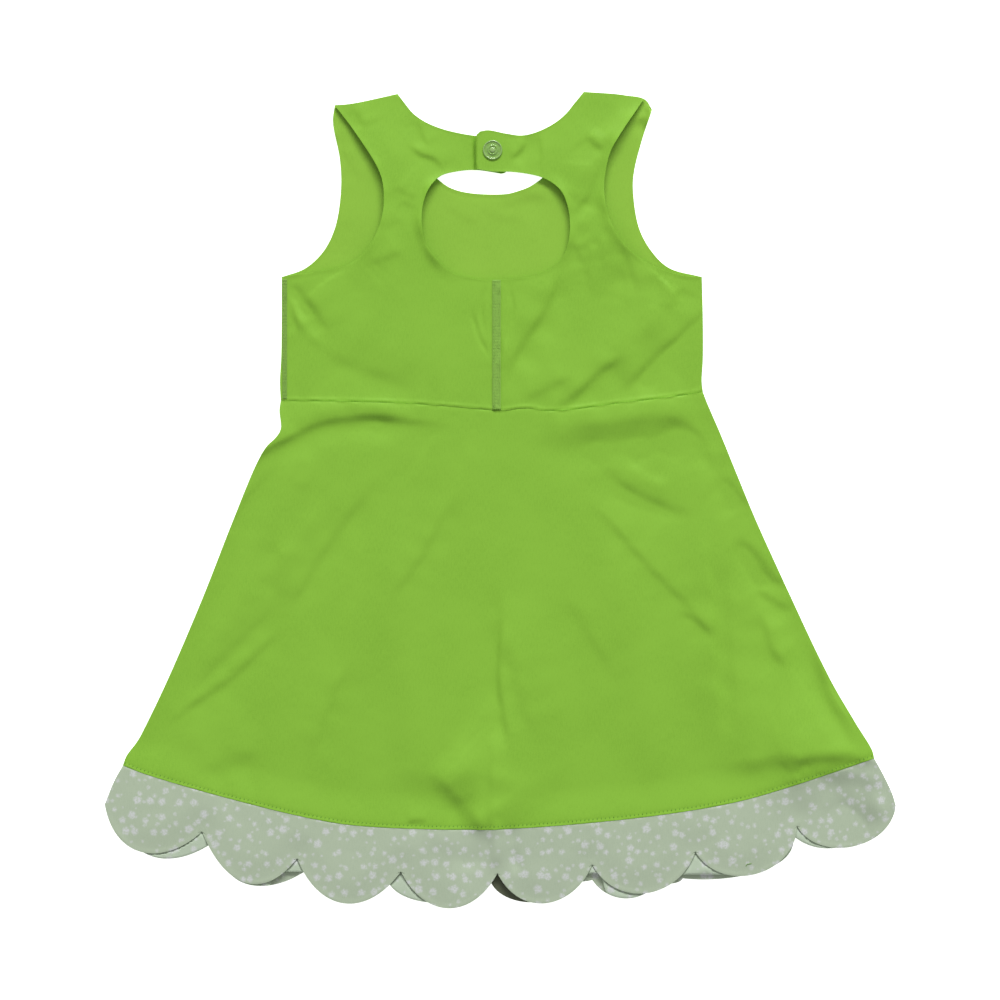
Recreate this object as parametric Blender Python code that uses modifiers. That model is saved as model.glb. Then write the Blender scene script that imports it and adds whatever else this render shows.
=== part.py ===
"""Girl's sleeveless athletic dress, laid flat with its back up.

The front panels lie flat on the surface, and the back panels lie on them. X runs across the
dress, +Y runs up to the shoulders and +Z up from the surface. The origin is the middle of the
box's bottom. Sizes are in millimetres, and MM turns them into metres.
"""
import math
from typing import NamedTuple

import bmesh
import bpy
import numpy as np
from mathutils import Vector, geometry

MM = 0.001

# Cloth and seams
CLOTH = 1.2
SEAM_GAP = 0.3
BED = CLOTH + SEAM_GAP
HEM_BED = 2 * BED

# How finely the panels are divided
EDGE_STEP = 7.0
GRID_STEP = 9.5
SKIRT_GRID_STEP = 12.0
FRONT_GRID_STEP = 34.0

# Heights along the dress, from the middle of its length
WAIST_Y = 69.0
UNDERARM_Y = 156.0
SHOULDER_Y = 278.0

# The centre back seam and the left side seam, both covered by a flat row of stitches
CENTRE_X = -2.8
CENTRE_STRIP_WIDTH = 5.9
CENTRE_STRIP_TOP = 152.6
CENTRE_STRIP_BOTTOM = 64.6
STRIP_WALL = 1.0
SIDE_STRIP_WIDTH = 3.2
SIDE_STRIP_INSET = 0.6

# The ring snap that closes the neck band
SNAP_X = -5.2
SNAP_Y = 244.4
SNAP_RADIUS = 6.65
SOCKET_RADIUS = 4.6
SOCKET_HEIGHT = 1.2
SNAP_STEPS = 28
TAB_LIFT = CLOTH + SEAM_GAP + SOCKET_HEIGHT + SEAM_GAP
TAB_FULL_X = 4.0
TAB_RUN_OUT = 26.0
TAB_LOWEST_Y = 200.0
TAB_FLAT_RADIUS = 13.0
TAB_FLAT_RUN_OUT = 14.0
NECK_LIFT = 0.5

# How far the back lies above the front
SKIRT_BODY = 1.3
SIDE_REACH = 24.0
SIDE_FLAT = 5.0
HIGHEST_LIFT = 3.4
HEM_RISE_RUN = 26.0

# Scallops: the half angle of the arc each one is cut from, and points along it
SCALLOP_HALF_ANGLE = math.radians(78.0)
SCALLOP_PARTS = 12
FACING_INSET = 1.2


class Point(NamedTuple):
    """A place on the flat dress."""
    x: float
    y: float


class Fold(NamedTuple):
    """A soft ridge, or a trough where its rise is negative, along a path."""
    rise: float
    width: float
    path: tuple


class Scallop(NamedTuple):
    """One scallop of a hem, from its left notch to the next one's, and its depth below them."""
    left_x: float
    left_y: float
    depth: float


LEFT_SIDE_BODICE = (Point(-152.6, 156.1), Point(-152.6, 91.0), Point(-153.2, 78.0), Point(-151.8, 69.3))
RIGHT_SIDE_BODICE = (Point(141.6, 156.1), Point(142.3, 91.0), Point(142.8, 81.0), Point(144.6, 75.6))

FRONT_ARMHOLE_LEFT = (
    Point(-152.6, 156.1), Point(-136.5, 162.0), Point(-123.9, 173.6), Point(-115.5, 190.4),
    Point(-111.3, 217.0), Point(-112.0, 238.0), Point(-116.9, 264.6), Point(-115.6, 276.4))
FRONT_ARMHOLE_RIGHT = (
    Point(106.4, 273.0), Point(99.4, 252.0), Point(93.8, 229.6), Point(93.1, 217.0),
    Point(97.3, 190.4), Point(106.4, 173.6), Point(118.3, 162.4), Point(141.6, 156.1))
FRONT_NECK = (
    Point(-71.4, 284.2), Point(-66.5, 262.5), Point(-57.4, 241.5), Point(-44.4, 224.7),
    Point(-32.2, 216.6), Point(-16.1, 213.3), Point(0.0, 213.1), Point(16.1, 215.6),
    Point(30.8, 225.0), Point(42.0, 241.5), Point(51.1, 262.5), Point(58.1, 285.2))
SHOULDER_LEFT = (Point(-115.6, 276.4), Point(-101.5, 277.5), Point(-71.4, 284.2))
SHOULDER_RIGHT = (Point(58.1, 285.2), Point(84.0, 283.5), Point(101.5, 280.3), Point(106.4, 273.0))

BACK_ARMHOLE_LEFT = (
    Point(-152.6, 156.1), Point(-128.8, 159.6), Point(-106.8, 164.5), Point(-92.7, 175.7),
    Point(-83.6, 193.9), Point(-81.2, 210.0), Point(-83.6, 227.5), Point(-100.8, 256.2),
    Point(-115.5, 275.8))
BACK_ARMHOLE_RIGHT = (
    Point(99.0, 280.6), Point(81.9, 254.1), Point(74.2, 231.7), Point(72.8, 215.6),
    Point(77.0, 195.3), Point(86.1, 179.2), Point(100.1, 167.3), Point(124.6, 157.5),
    Point(141.6, 156.1))
BACK_SHOULDER_LEFT = (Point(-115.5, 275.8), Point(-101.5, 277.5), Point(-71.6, 284.0))
BACK_SHOULDER_RIGHT = (Point(58.6, 285.4), Point(84.0, 283.5), Point(99.0, 280.6))
BACK_NECK_LEFT = (
    Point(-71.6, 284.0), Point(-64.4, 271.6), Point(-54.6, 262.8), Point(-40.6, 257.6),
    Point(-17.5, 254.4), Point(2.1, 255.0))
UNDER_END = (Point(2.1, 255.0), Point(2.4, 240.0), Point(0.8, 229.8), Point(-4.0, 228.0))
KEYHOLE_LEFT = (
    Point(-4.0, 228.0), Point(-28.0, 229.4), Point(-44.4, 224.7), Point(-51.8, 213.5),
    Point(-54.6, 199.5), Point(-52.5, 181.3), Point(-44.4, 168.7), Point(-32.2, 158.2),
    Point(-16.1, 154.3), Point(CENTRE_X, 154.0))
KEYHOLE_RIGHT = (
    Point(CENTRE_X, 154.0), Point(17.8, 155.4), Point(32.2, 159.6), Point(42.0, 167.3),
    Point(47.9, 181.3), Point(48.3, 199.5), Point(44.1, 213.5), Point(30.8, 225.0),
    Point(8.0, 228.8), Point(-14.6, 231.3))
TAB_END = (Point(-14.6, 231.3), Point(-16.6, 233.6), Point(-16.7, 253.5), Point(-14.0, 257.4))
BACK_NECK_RIGHT = (
    Point(-14.0, 257.4), Point(-8.4, 258.3), Point(5.6, 255.5), Point(19.6, 254.4),
    Point(32.2, 257.6), Point(42.0, 263.9), Point(49.7, 273.0), Point(58.6, 285.4))

WAIST_LEFT = (
    Point(-151.8, 69.3), Point(-100.8, 68.6), Point(-60.9, 67.2), Point(-32.2, 65.1),
    Point(CENTRE_X, 62.9))
WAIST_RIGHT = (
    Point(CENTRE_X, 62.9), Point(19.6, 62.6), Point(35.7, 61.9), Point(51.8, 63.3),
    Point(79.8, 67.2), Point(120.4, 72.1), Point(144.6, 75.6))

SKIRT_LEFT = (
    Point(-151.8, 69.3), Point(-154.3, 63.0), Point(-153.3, 49.0), Point(-162.4, 37.1),
    Point(-187.6, -14.0), Point(-209.3, -70.0), Point(-233.1, -126.0), Point(-246.4, -154.0),
    Point(-263.6, -185.5))
SKIRT_RIGHT = (
    Point(144.6, 75.6), Point(147.7, 63.0), Point(154.0, 49.0), Point(179.2, -14.0),
    Point(204.4, -70.0), Point(231.0, -126.0), Point(247.1, -154.0), Point(260.4, -180.2))
HEM_SEAM = (
    Point(-263.6, -185.5), Point(-249.2, -191.1), Point(-184.1, -210.0), Point(-128.1, -223.3),
    Point(-100.1, -227.5), Point(-30.1, -230.3), Point(20.3, -228.9), Point(103.6, -221.2),
    Point(166.6, -210.7), Point(211.4, -197.4), Point(260.4, -180.2))
BAND_END_LEFT = (Point(-263.6, -185.5), Point(-269.5, -196.0), Point(-276.3, -212.5))
BAND_END_RIGHT = (Point(260.4, -180.2), Point(270.5, -196.0), Point(276.6, -213.5))

BACK_SCALLOPS = (
    Scallop(-276.3, -212.5, 26.5), Scallop(-208.2, -231.7, 26.5), Scallop(-141.7, -250.6, 28.0),
    Scallop(-69.3, -259.7, 26.0), Scallop(-1.8, -260.8, 23.5), Scallop(64.4, -254.8, 26.0),
    Scallop(136.5, -245.7, 25.5), Scallop(207.6, -227.9, 22.0))
BACK_SCALLOPS_END = Point(276.6, -213.5)
FRONT_SCALLOPS = (
    Scallop(-268.0, -212.0, 31.0), Scallop(-201.0, -239.0, 25.0), Scallop(-139.5, -258.0, 21.0),
    Scallop(-78.0, -267.5, 15.0), Scallop(-7.0, -266.0, 14.5), Scallop(60.0, -264.3, 14.0),
    Scallop(131.5, -263.6, 11.0), Scallop(205.5, -235.0, 17.0))
FRONT_SCALLOPS_END = Point(270.0, -207.0)

# Largest folds of the back, as seen from above
FOLDS = (
    Fold(1.9, 9.0, (Point(-146, 54), Point(-122, 64), Point(-98, 65), Point(-66, 62))),
    Fold(-2.0, 6.5, (Point(-158, 36), Point(-136, 51), Point(-106, 59), Point(-66, 56))),
    Fold(1.6, 9.0, (Point(28, 54), Point(63, 59), Point(95, 63), Point(131, 68))),
    Fold(-1.6, 10.0, (Point(31, 42), Point(63, 47), Point(95, 51), Point(131, 56))),
    Fold(-1.3, 10.0, (Point(74, 23), Point(88, 7), Point(106, -1), Point(134, -7))),
    Fold(-1.2, 10.0, (Point(163, -27), Point(184, -45), Point(195, -66))),
    Fold(-1.7, 9.0, (Point(213, -98), Point(223, -127), Point(238, -158))),
    Fold(1.5, 13.0, (Point(141, -9), Point(147, -66), Point(149, -116), Point(153, -166))),
    Fold(2.0, 26.0, (Point(18, -60), Point(20, -120), Point(24, -180), Point(20, -255))),
    Fold(-1.5, 11.0, (Point(-44, -196), Point(-32, -214), Point(-14, -245))),
    Fold(-1.2, 14.0, (Point(-80, 13), Point(-123, -34), Point(-155, -80), Point(-234, -159))),
    Fold(1.4, 13.0, (Point(-159, -55), Point(-190, -80), Point(-226, -120))),
    Fold(1.4, 20.0, (Point(-60, -10), Point(-84, -70), Point(-112, -130), Point(-128, -200))),
    Fold(1.2, 16.0, (Point(70, -20), Point(92, -90), Point(104, -150), Point(112, -215))),
    Fold(-1.3, 12.0, (Point(-121, 107), Point(-97, 95), Point(-52, 76))),
    Fold(-1.4, 9.0, (Point(42, 158), Point(32, 130), Point(20, 113), Point(10, 90))),
    Fold(1.3, 11.0, (Point(58, 150), Point(48, 120), Point(36, 95))),
    Fold(-1.5, 10.0, (Point(88, 83), Point(118, 113), Point(136, 127))),
    Fold(1.3, 12.0, (Point(76, 100), Point(96, 124), Point(118, 142))),
    Fold(2.2, 8.0, (Point(-108, 264), Point(-90, 238), Point(-84, 212), Point(-90, 186))),
    Fold(2.4, 8.0, (Point(92, 266), Point(79, 240), Point(75, 214), Point(82, 190))),
    Fold(-1.2, 7.0, (Point(68, 240), Point(62, 217), Point(52, 202))),
)

COLOURS = {
    "lime_jersey": (0.235, 0.480, 0.052, 1.0),
    "seam_thread": (0.205, 0.395, 0.062, 1.0),
    "sage_print": (0.420, 0.490, 0.380, 1.0),
    "mint_facing": (0.480, 0.590, 0.440, 1.0),
    "clear_green_plastic": (0.350, 0.640, 0.170, 1.0),
}
ROUGHNESS = {
    "lime_jersey": 0.62,
    "seam_thread": 0.75,
    "sage_print": 0.70,
    "mint_facing": 0.72,
    "clear_green_plastic": 0.22,
}


def smoothstep(value):
    """Goes from 0 to 1 with a soft start and end."""
    t = np.clip(value, 0.0, 1.0)
    return t * t * (3.0 - 2.0 * t)


def through(points, step=EDGE_STEP):
    """Samples a smooth curve through the points, which keeps both of its ends."""
    ends = [2 * np.array(points[0]) - np.array(points[1]), 2 * np.array(points[-1]) - np.array(points[-2])]
    knots = [ends[0]] + [np.array(point) for point in points] + [ends[1]]
    curve = [np.array(points[0])]
    for before, start, stop, after in zip(knots, knots[1:], knots[2:], knots[3:]):
        reach = np.linalg.norm(stop - start)
        near = max(math.sqrt(np.linalg.norm(start - before)), 0.1)
        middle = max(math.sqrt(reach), 0.1)
        far = max(math.sqrt(np.linalg.norm(after - stop)), 0.1)
        leave = (start - before) / near - (stop - before) / (near + middle) + (stop - start) / middle
        arrive = (stop - start) / middle - (after - start) / (middle + far) + (after - stop) / far
        parts = max(1, round(reach / step))
        for part in range(1, parts + 1):
            t = part / parts
            curve.append(
                start * (2 * t**3 - 3 * t**2 + 1) + stop * (3 * t**2 - 2 * t**3)
                + leave * middle * (t**3 - 2 * t**2 + t) + arrive * middle * (t**3 - t**2))
    return curve


def joined(*runs):
    """Joins runs of points end to end into one closed outline, without its doubled corners."""
    outline = []
    for run in runs:
        for point in run:
            if not outline or np.linalg.norm(point - outline[-1]) > 0.05:
                outline.append(point)
    while np.linalg.norm(outline[0] - outline[-1]) < 0.05:
        outline.pop()
    return outline


def shifted(run, up):
    """Moves a run of points up the dress, or down it where the distance is negative."""
    return [point + np.array((0.0, up)) for point in run]


def scallop_edge(scallops, last, inset=0.0):
    """Runs along a scalloped edge, each scallop an arc below the line between its notches."""
    notches = [np.array((scallop.left_x, scallop.left_y)) for scallop in scallops] + [np.array(last)]
    edge = [notches[0] + np.array((inset, inset))]
    deepest = 1.0 - math.cos(SCALLOP_HALF_ANGLE)
    for scallop, start, stop in zip(scallops, notches, notches[1:]):
        chord = stop - start
        down = np.array((chord[1], -chord[0])) / np.linalg.norm(chord)
        for part in range(1, SCALLOP_PARTS + 1):
            angle = SCALLOP_HALF_ANGLE * (2.0 * part / SCALLOP_PARTS - 1.0)
            along = 0.5 + 0.5 * math.sin(angle) / math.sin(SCALLOP_HALF_ANGLE)
            depth = scallop.depth * (math.cos(angle) - math.cos(SCALLOP_HALF_ANGLE)) / deepest
            edge.append(start + along * chord + down * (depth - inset))
    return edge


def distance_to(run, points):
    """Gives each point's distance to a run of points, and how far along it the nearest place is."""
    run = np.array(run)
    lengths = np.concatenate([[0.0], np.cumsum(np.linalg.norm(np.diff(run, axis=0), axis=1))])
    nearest = np.full(len(points), np.inf)
    along = np.zeros(len(points))
    for index in range(len(run) - 1):
        side = run[index + 1] - run[index]
        t = np.clip(((points - run[index]) @ side) / (side @ side), 0.0, 1.0)
        distance = np.linalg.norm(points - run[index] - t[:, None] * side, axis=1)
        closer = distance < nearest
        nearest = np.where(closer, distance, nearest)
        place = (lengths[index] + t * (lengths[index + 1] - lengths[index])) / lengths[-1]
        along = np.where(closer, place, along)
    return nearest, along


def side_distance(points):
    """Gives each point's distance in from the side seams, along X."""
    left = sorted(LEFT_SIDE_BODICE + SKIRT_LEFT[1:] + BAND_END_LEFT[1:], key=lambda point: point.y)
    right = sorted(RIGHT_SIDE_BODICE + SKIRT_RIGHT[1:] + BAND_END_RIGHT[1:], key=lambda point: point.y)
    left_x = np.interp(points[:, 1], [point.y for point in left], [point.x for point in left])
    right_x = np.interp(points[:, 1], [point.y for point in right], [point.x for point in right])
    return np.minimum(points[:, 0] - left_x, right_x - points[:, 0])


def back_height(points):
    """Gives the height of the back's underside over each point of the dress."""
    points = np.array(points)
    lift = np.full(len(points), SKIRT_BODY)
    for fold in FOLDS:
        distance, along = distance_to(through(fold.path), points)
        ends = smoothstep(along / 0.22) * smoothstep((1.0 - along) / 0.22)
        lift += fold.rise * (0.25 + 0.75 * ends) * np.exp(-(distance / fold.width) ** 2)
    below_underarm = smoothstep((UNDERARM_Y + 14.0 - points[:, 1]) / 20.0)
    sides = smoothstep((side_distance(points) - SIDE_FLAT) / SIDE_REACH)
    lift *= 1.0 - below_underarm * (1.0 - sides)
    lift *= smoothstep((SHOULDER_Y + 4.0 - points[:, 1]) / 22.0)
    lift = 0.5 * (lift + np.sqrt(lift * lift + 0.09)) - 0.05
    lift = np.minimum(lift, HIGHEST_LIFT)
    tab_distance = np.hypot(points[:, 0] - SNAP_X, points[:, 1] - SNAP_Y)
    flat = 1.0 - smoothstep((tab_distance - TAB_FLAT_RADIUS) / TAB_FLAT_RUN_OUT)
    lift = lift * (1.0 - flat) + NECK_LIFT * flat
    seam_x = [point.x for point in HEM_SEAM]
    above_hem = points[:, 1] - np.interp(points[:, 0], seam_x, [point.y for point in HEM_SEAM])
    bed = BED + (HEM_BED - BED) * (1.0 - smoothstep(above_hem / HEM_RISE_RUN))
    return bed + np.maximum(lift, 0.0)


def tab_height(points):
    """Gives the right back's height, which climbs over the under end of the neck band."""
    points = np.array(points)
    run_out = 1.0 - smoothstep((points[:, 0] - TAB_FULL_X) / TAB_RUN_OUT)
    in_band = smoothstep((points[:, 1] - TAB_LOWEST_Y) / 10.0)
    return back_height(points) + TAB_LIFT * run_out * in_band


def level(height):
    """Gives a function of the points that puts them all at one height."""
    return lambda points: np.full(len(points), height)


def inside(outline, points):
    """Tells which points lie inside a closed outline."""
    points = np.array(points)
    within = np.zeros(len(points), dtype=bool)
    for start, stop in zip(outline, outline[1:] + outline[:1]):
        crosses = (start[1] > points[:, 1]) != (stop[1] > points[:, 1])
        rise = stop[1] - start[1] if stop[1] != start[1] else 1.0
        at_x = start[0] + (points[:, 1] - start[1]) * (stop[0] - start[0]) / rise
        within ^= crosses & (points[:, 0] < at_x)
    return within


def grid_points(outline, step, rows=()):
    """Gives staggered grid points inside an outline, clear of its edge and of the given rows."""
    corner = np.min(outline, axis=0)
    size = np.max(outline, axis=0) - corner
    row_step = step * math.sqrt(3.0) / 2.0
    grid = []
    for row in range(int(size[1] / row_step) + 1):
        for column in range(int(size[0] / step) + 1):
            grid.append(corner + np.array(((column + 0.5 * (row % 2)) * step, (row + 0.5) * row_step)))
    grid = np.array(grid)
    distance, _ = distance_to(outline + outline[:1], grid)
    keep = inside(outline, grid) & (distance > 0.55 * step)
    if len(rows):
        gaps = np.linalg.norm(grid[:, None] - np.array(rows)[None], axis=2)
        keep &= gaps.min(axis=1) > 0.55 * step
    return list(grid[keep]) + list(rows)


def material(name):
    """Makes the material of that name, once."""
    made = bpy.data.materials.get(name)
    if made:
        return made
    made = bpy.data.materials.new(name)
    made.use_nodes = True
    shader = made.node_tree.nodes["Principled BSDF"]
    shader.inputs["Base Color"].default_value = COLOURS[name]
    shader.inputs["Roughness"].default_value = ROUGHNESS[name]
    shader.inputs["Metallic"].default_value = 0.0
    return made


def add_object(name, mesh, collection, finish):
    """Puts a mesh in the dress's collection as a named piece with its own material."""
    piece = bpy.data.objects.new(name, mesh)
    own = material(finish).copy()
    own.name = f"{name}_{finish}"
    mesh.materials.append(own)
    collection.objects.link(piece)
    return piece


def panel(name, collection, finish, outline, height, wall=CLOTH, step=GRID_STEP, rows=()):
    """Makes a piece of cloth: a triangulated outline, raised to its height, then given its wall."""
    points = outline + grid_points(outline, step, rows)
    border = list(range(len(outline)))
    flat, _, faces, _, _, _ = geometry.delaunay_2d_cdt(
        [Vector(point) for point in points], [], [border], 1, 1e-5)
    heights = height(np.array(flat))
    mesh = bpy.data.meshes.new(name)
    sheet = bmesh.new()
    corners = [sheet.verts.new((x * MM, y * MM, z * MM)) for (x, y), z in zip(flat, heights)]
    for face in faces:
        sheet.faces.new([corners[index] for index in face])
    bmesh.ops.delete(sheet, geom=[v for v in sheet.verts if not v.link_faces], context="VERTS")
    bmesh.ops.recalc_face_normals(sheet, faces=sheet.faces)
    if sum(face.normal.z for face in sheet.faces) > 0:
        bmesh.ops.reverse_faces(sheet, faces=sheet.faces)
    raised = bmesh.ops.extrude_face_region(sheet, geom=list(sheet.faces), use_keep_orig=True)
    top = [item for item in raised["geom"] if isinstance(item, bmesh.types.BMVert)]
    bmesh.ops.translate(sheet, verts=top, vec=(0.0, 0.0, wall * MM))
    bmesh.ops.recalc_face_normals(sheet, faces=sheet.faces)
    sheet.to_mesh(mesh)
    sheet.free()
    mesh.shade_smooth()
    mesh.set_sharp_from_angle(angle=math.radians(40.0))
    return add_object(name, mesh, collection, finish)


def strip(name, collection, ys, left_x, right_x, height):
    """Makes a narrow row of stitches that lies on a panel, from the panel's own points."""
    left = [np.array((left_x, y)) for y in ys]
    right = [np.array((right_x, y)) for y in reversed(ys)]
    return panel(name, collection, "seam_thread", left + right, height, STRIP_WALL, FRONT_GRID_STEP)


def turned(name, collection, profile, x, y, z):
    """Turns a profile of radius and height about the vertical through a place."""
    mesh = bpy.data.meshes.new(name)
    mesh.from_pydata(
        [(radius * MM, 0.0, height * MM) for radius, height in profile],
        [(index, index + 1) for index in range(len(profile) - 1)], [])
    piece = add_object(name, mesh, collection, "clear_green_plastic")
    piece.location = (x * MM, y * MM, z * MM)
    screw = piece.modifiers.new("Turn", "SCREW")
    screw.steps = SNAP_STEPS
    screw.render_steps = SNAP_STEPS
    screw.use_merge_vertices = True
    screw.merge_threshold = 0.00001
    screw.use_smooth_shade = True
    return piece


def seam_columns(ys):
    """Gives the points of the back panels along both edges of the centre seam's strip."""
    half = CENTRE_STRIP_WIDTH / 2
    left = [np.array((CENTRE_X - half, y)) for y in ys]
    right = [np.array((CENTRE_X + half, y)) for y in ys]
    return left, right


def make_front(collection):
    """Makes the four pieces of the front, which lie flat under the back."""
    waist = through(WAIST_LEFT) + through(WAIST_RIGHT)[1:]
    bodice = joined(
        shifted(waist, SEAM_GAP / 2), through(RIGHT_SIDE_BODICE)[::-1][1:],
        through(FRONT_ARMHOLE_RIGHT)[::-1], through(SHOULDER_RIGHT)[::-1], through(FRONT_NECK)[::-1],
        through(SHOULDER_LEFT)[::-1], through(FRONT_ARMHOLE_LEFT)[::-1], through(LEFT_SIDE_BODICE)[:-1])
    panel("front_bodice", collection, "lime_jersey", bodice, level(0.0), step=FRONT_GRID_STEP)
    seam = through(HEM_SEAM)
    skirt = joined(
        shifted(waist, -SEAM_GAP / 2)[::-1], through(SKIRT_LEFT)[1:-1],
        shifted(seam, SEAM_GAP / 2), through(SKIRT_RIGHT)[::-1][1:-1])
    panel("front_skirt", collection, "lime_jersey", skirt, level(0.0), step=FRONT_GRID_STEP)
    band = joined(
        shifted(seam, -SEAM_GAP / 2)[::-1], through(BAND_END_LEFT)[1:-1],
        scallop_edge(FRONT_SCALLOPS, FRONT_SCALLOPS_END), through(BAND_END_RIGHT)[1:-2][::-1])
    panel("front_hem_band", collection, "sage_print", band, level(0.0), step=FRONT_GRID_STEP)
    facing = joined(
        shifted(seam, -SEAM_GAP / 2)[::-1][2:-2],
        scallop_edge(FRONT_SCALLOPS, FRONT_SCALLOPS_END, FACING_INSET)[2:-2])
    panel("front_hem_facing", collection, "mint_facing", facing, level(BED), step=FRONT_GRID_STEP)


def make_back(collection):
    """Makes the back's panels, which lie on the front with the dress's largest folds."""
    waist_left = through(WAIST_LEFT)
    waist_right = through(WAIST_RIGHT)
    strip_rows = int((CENTRE_STRIP_TOP - CENTRE_STRIP_BOTTOM) / EDGE_STEP)
    ys = [float(y) for y in np.linspace(CENTRE_STRIP_BOTTOM, CENTRE_STRIP_TOP, strip_rows)]
    left_column, right_column = seam_columns(ys)
    left_edge = [np.array((CENTRE_X - SEAM_GAP / 2, y)) for y in reversed(ys)]
    right_edge = [np.array((CENTRE_X + SEAM_GAP / 2, y)) for y in ys]
    to_left = np.array((-SEAM_GAP / 2, 0.0))
    keyhole_left = through(KEYHOLE_LEFT)
    keyhole_left[-1] = keyhole_left[-1] + to_left
    keyhole_right = through(KEYHOLE_RIGHT)
    keyhole_right[0] = keyhole_right[0] - to_left
    low_left = shifted(waist_left, SEAM_GAP / 2)
    low_left[-1] = low_left[-1] + to_left
    low_right = shifted(waist_right, SEAM_GAP / 2)
    low_right[0] = low_right[0] - to_left
    left = joined(
        low_left[::-1], through(LEFT_SIDE_BODICE)[::-1][1:], through(BACK_ARMHOLE_LEFT),
        through(BACK_SHOULDER_LEFT), through(BACK_NECK_LEFT), through(UNDER_END), keyhole_left, left_edge)
    panel("back_bodice_left", collection, "lime_jersey", left, back_height, rows=left_column)
    right = joined(
        low_right, through(RIGHT_SIDE_BODICE)[::-1][1:], through(BACK_ARMHOLE_RIGHT)[::-1],
        through(BACK_SHOULDER_RIGHT)[::-1], through(BACK_NECK_RIGHT)[::-1], through(TAB_END)[::-1],
        keyhole_right[::-1], right_edge[::-1])
    panel("back_bodice_right", collection, "lime_jersey", right, tab_height, rows=right_column)
    seam = through(HEM_SEAM)
    skirt = joined(
        shifted(waist_left + waist_right[1:], -SEAM_GAP / 2)[::-1], through(SKIRT_LEFT)[1:-1],
        shifted(seam, SEAM_GAP / 2), through(SKIRT_RIGHT)[::-1][1:-1])
    panel("back_skirt", collection, "lime_jersey", skirt, back_height, step=SKIRT_GRID_STEP)
    band = joined(
        shifted(seam, -SEAM_GAP / 2)[::-1], through(BAND_END_LEFT)[1:-1],
        scallop_edge(BACK_SCALLOPS, BACK_SCALLOPS_END), through(BAND_END_RIGHT)[1:-1][::-1])
    panel("back_hem_band", collection, "sage_print", band, back_height)


def make_seams(collection):
    """Makes the flat rows of stitches over the centre back seam and the left side seam."""
    strip_rows = int((CENTRE_STRIP_TOP - CENTRE_STRIP_BOTTOM) / EDGE_STEP)
    ys = [float(y) for y in np.linspace(CENTRE_STRIP_BOTTOM, CENTRE_STRIP_TOP, strip_rows)]
    half = CENTRE_STRIP_WIDTH / 2
    strip("centre_back_seam", collection, ys, CENTRE_X - half, CENTRE_X + half,
          lambda points: back_height(points) + CLOTH + SEAM_GAP)
    side_ys = [float(y) for y in np.linspace(WAIST_Y + 2.0, UNDERARM_Y - 1.5, 8)]
    side_x = LEFT_SIDE_BODICE[0].x + SIDE_STRIP_INSET
    strip("left_side_seam", collection, side_ys, side_x, side_x + SIDE_STRIP_WIDTH,
          lambda points: back_height(points) + CLOTH + SEAM_GAP)


def make_snap(collection):
    """Makes the ring snap: its cap on the tab, and its socket between the tab and the under end."""
    tab_bottom = BED + NECK_LIFT + TAB_LIFT
    cap = (
        (0.0, 1.5), (1.7, 1.5), (2.3, 1.1), (2.5, 0.6), (3.7, 0.6), (4.3, 1.2), (5.3, 1.4),
        (6.2, 1.1), (SNAP_RADIUS, 0.5), (SNAP_RADIUS, 0.0), (0.0, 0.0))
    turned("snap_cap", collection, cap, SNAP_X, SNAP_Y, tab_bottom + CLOTH + SEAM_GAP)
    socket = (
        (0.0, SOCKET_HEIGHT), (SOCKET_RADIUS - 0.3, SOCKET_HEIGHT), (SOCKET_RADIUS, SOCKET_HEIGHT - 0.3),
        (SOCKET_RADIUS, 0.0), (0.0, 0.0))
    turned("snap_socket", collection, socket, SNAP_X, SNAP_Y, BED + NECK_LIFT + CLOTH + SEAM_GAP)


def main():
    """Builds the dress."""
    for old in list(bpy.data.objects):
        bpy.data.objects.remove(old)
    collection = bpy.data.collections.new("athletic_dress")
    bpy.context.scene.collection.children.link(collection)
    make_front(collection)
    make_back(collection)
    make_seams(collection)
    make_snap(collection)


main()
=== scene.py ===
"""Girl's sleeveless athletic dress in lime jersey, laid flat with its back up.

X runs across the dress, +Y up to the shoulders, and +Z up from the surface that it lies on. Sizes
in the tables are millimetres, and MM turns them into metres.
"""

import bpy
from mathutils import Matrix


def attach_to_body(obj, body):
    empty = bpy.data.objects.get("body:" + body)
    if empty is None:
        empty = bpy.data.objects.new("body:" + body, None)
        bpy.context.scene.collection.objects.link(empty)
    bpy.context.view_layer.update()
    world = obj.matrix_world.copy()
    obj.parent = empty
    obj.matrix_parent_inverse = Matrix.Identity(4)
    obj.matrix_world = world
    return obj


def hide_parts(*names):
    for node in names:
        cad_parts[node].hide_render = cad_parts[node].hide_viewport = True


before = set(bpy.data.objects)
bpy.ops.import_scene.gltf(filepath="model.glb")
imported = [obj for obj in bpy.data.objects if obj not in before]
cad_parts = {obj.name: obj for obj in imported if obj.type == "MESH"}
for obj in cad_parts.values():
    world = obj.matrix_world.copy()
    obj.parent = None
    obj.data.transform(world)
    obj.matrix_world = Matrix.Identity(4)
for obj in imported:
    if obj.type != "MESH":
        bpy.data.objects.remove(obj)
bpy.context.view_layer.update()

import logging
import math
from dataclasses import dataclass
from enum import Enum
from functools import partial
from typing import Callable, ClassVar, NamedTuple, Sequence

import bpy
import numpy as np
from mathutils import Vector, geometry

LOG = logging.getLogger("athletic_dress")
MM = 0.001
BODY = "root"
WHITE = (1.0, 1.0, 1.0, 1.0)
# The cloth's own coordinates, and how many millimetres one unit of them spans
CLOTH_MAP = "cloth"
CLOTH_MAP_SPAN = 600.0
# How close two corners of an outline lie where they are one
SAME_PLACE = 0.05
# Where a leaning fold's crest stands and how far its gentle flank runs, and where a step levels
# out, all in widths of the crease
FOLD_CREST = 0.7
FOLD_FLANK = 5.2
STEP_REACH = 6.5
Array = np.ndarray
Colour = tuple[float, float, float, float]
Height = Callable[[Array], Array]
Run = Sequence[Array]
Place = tuple[float, float]


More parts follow.
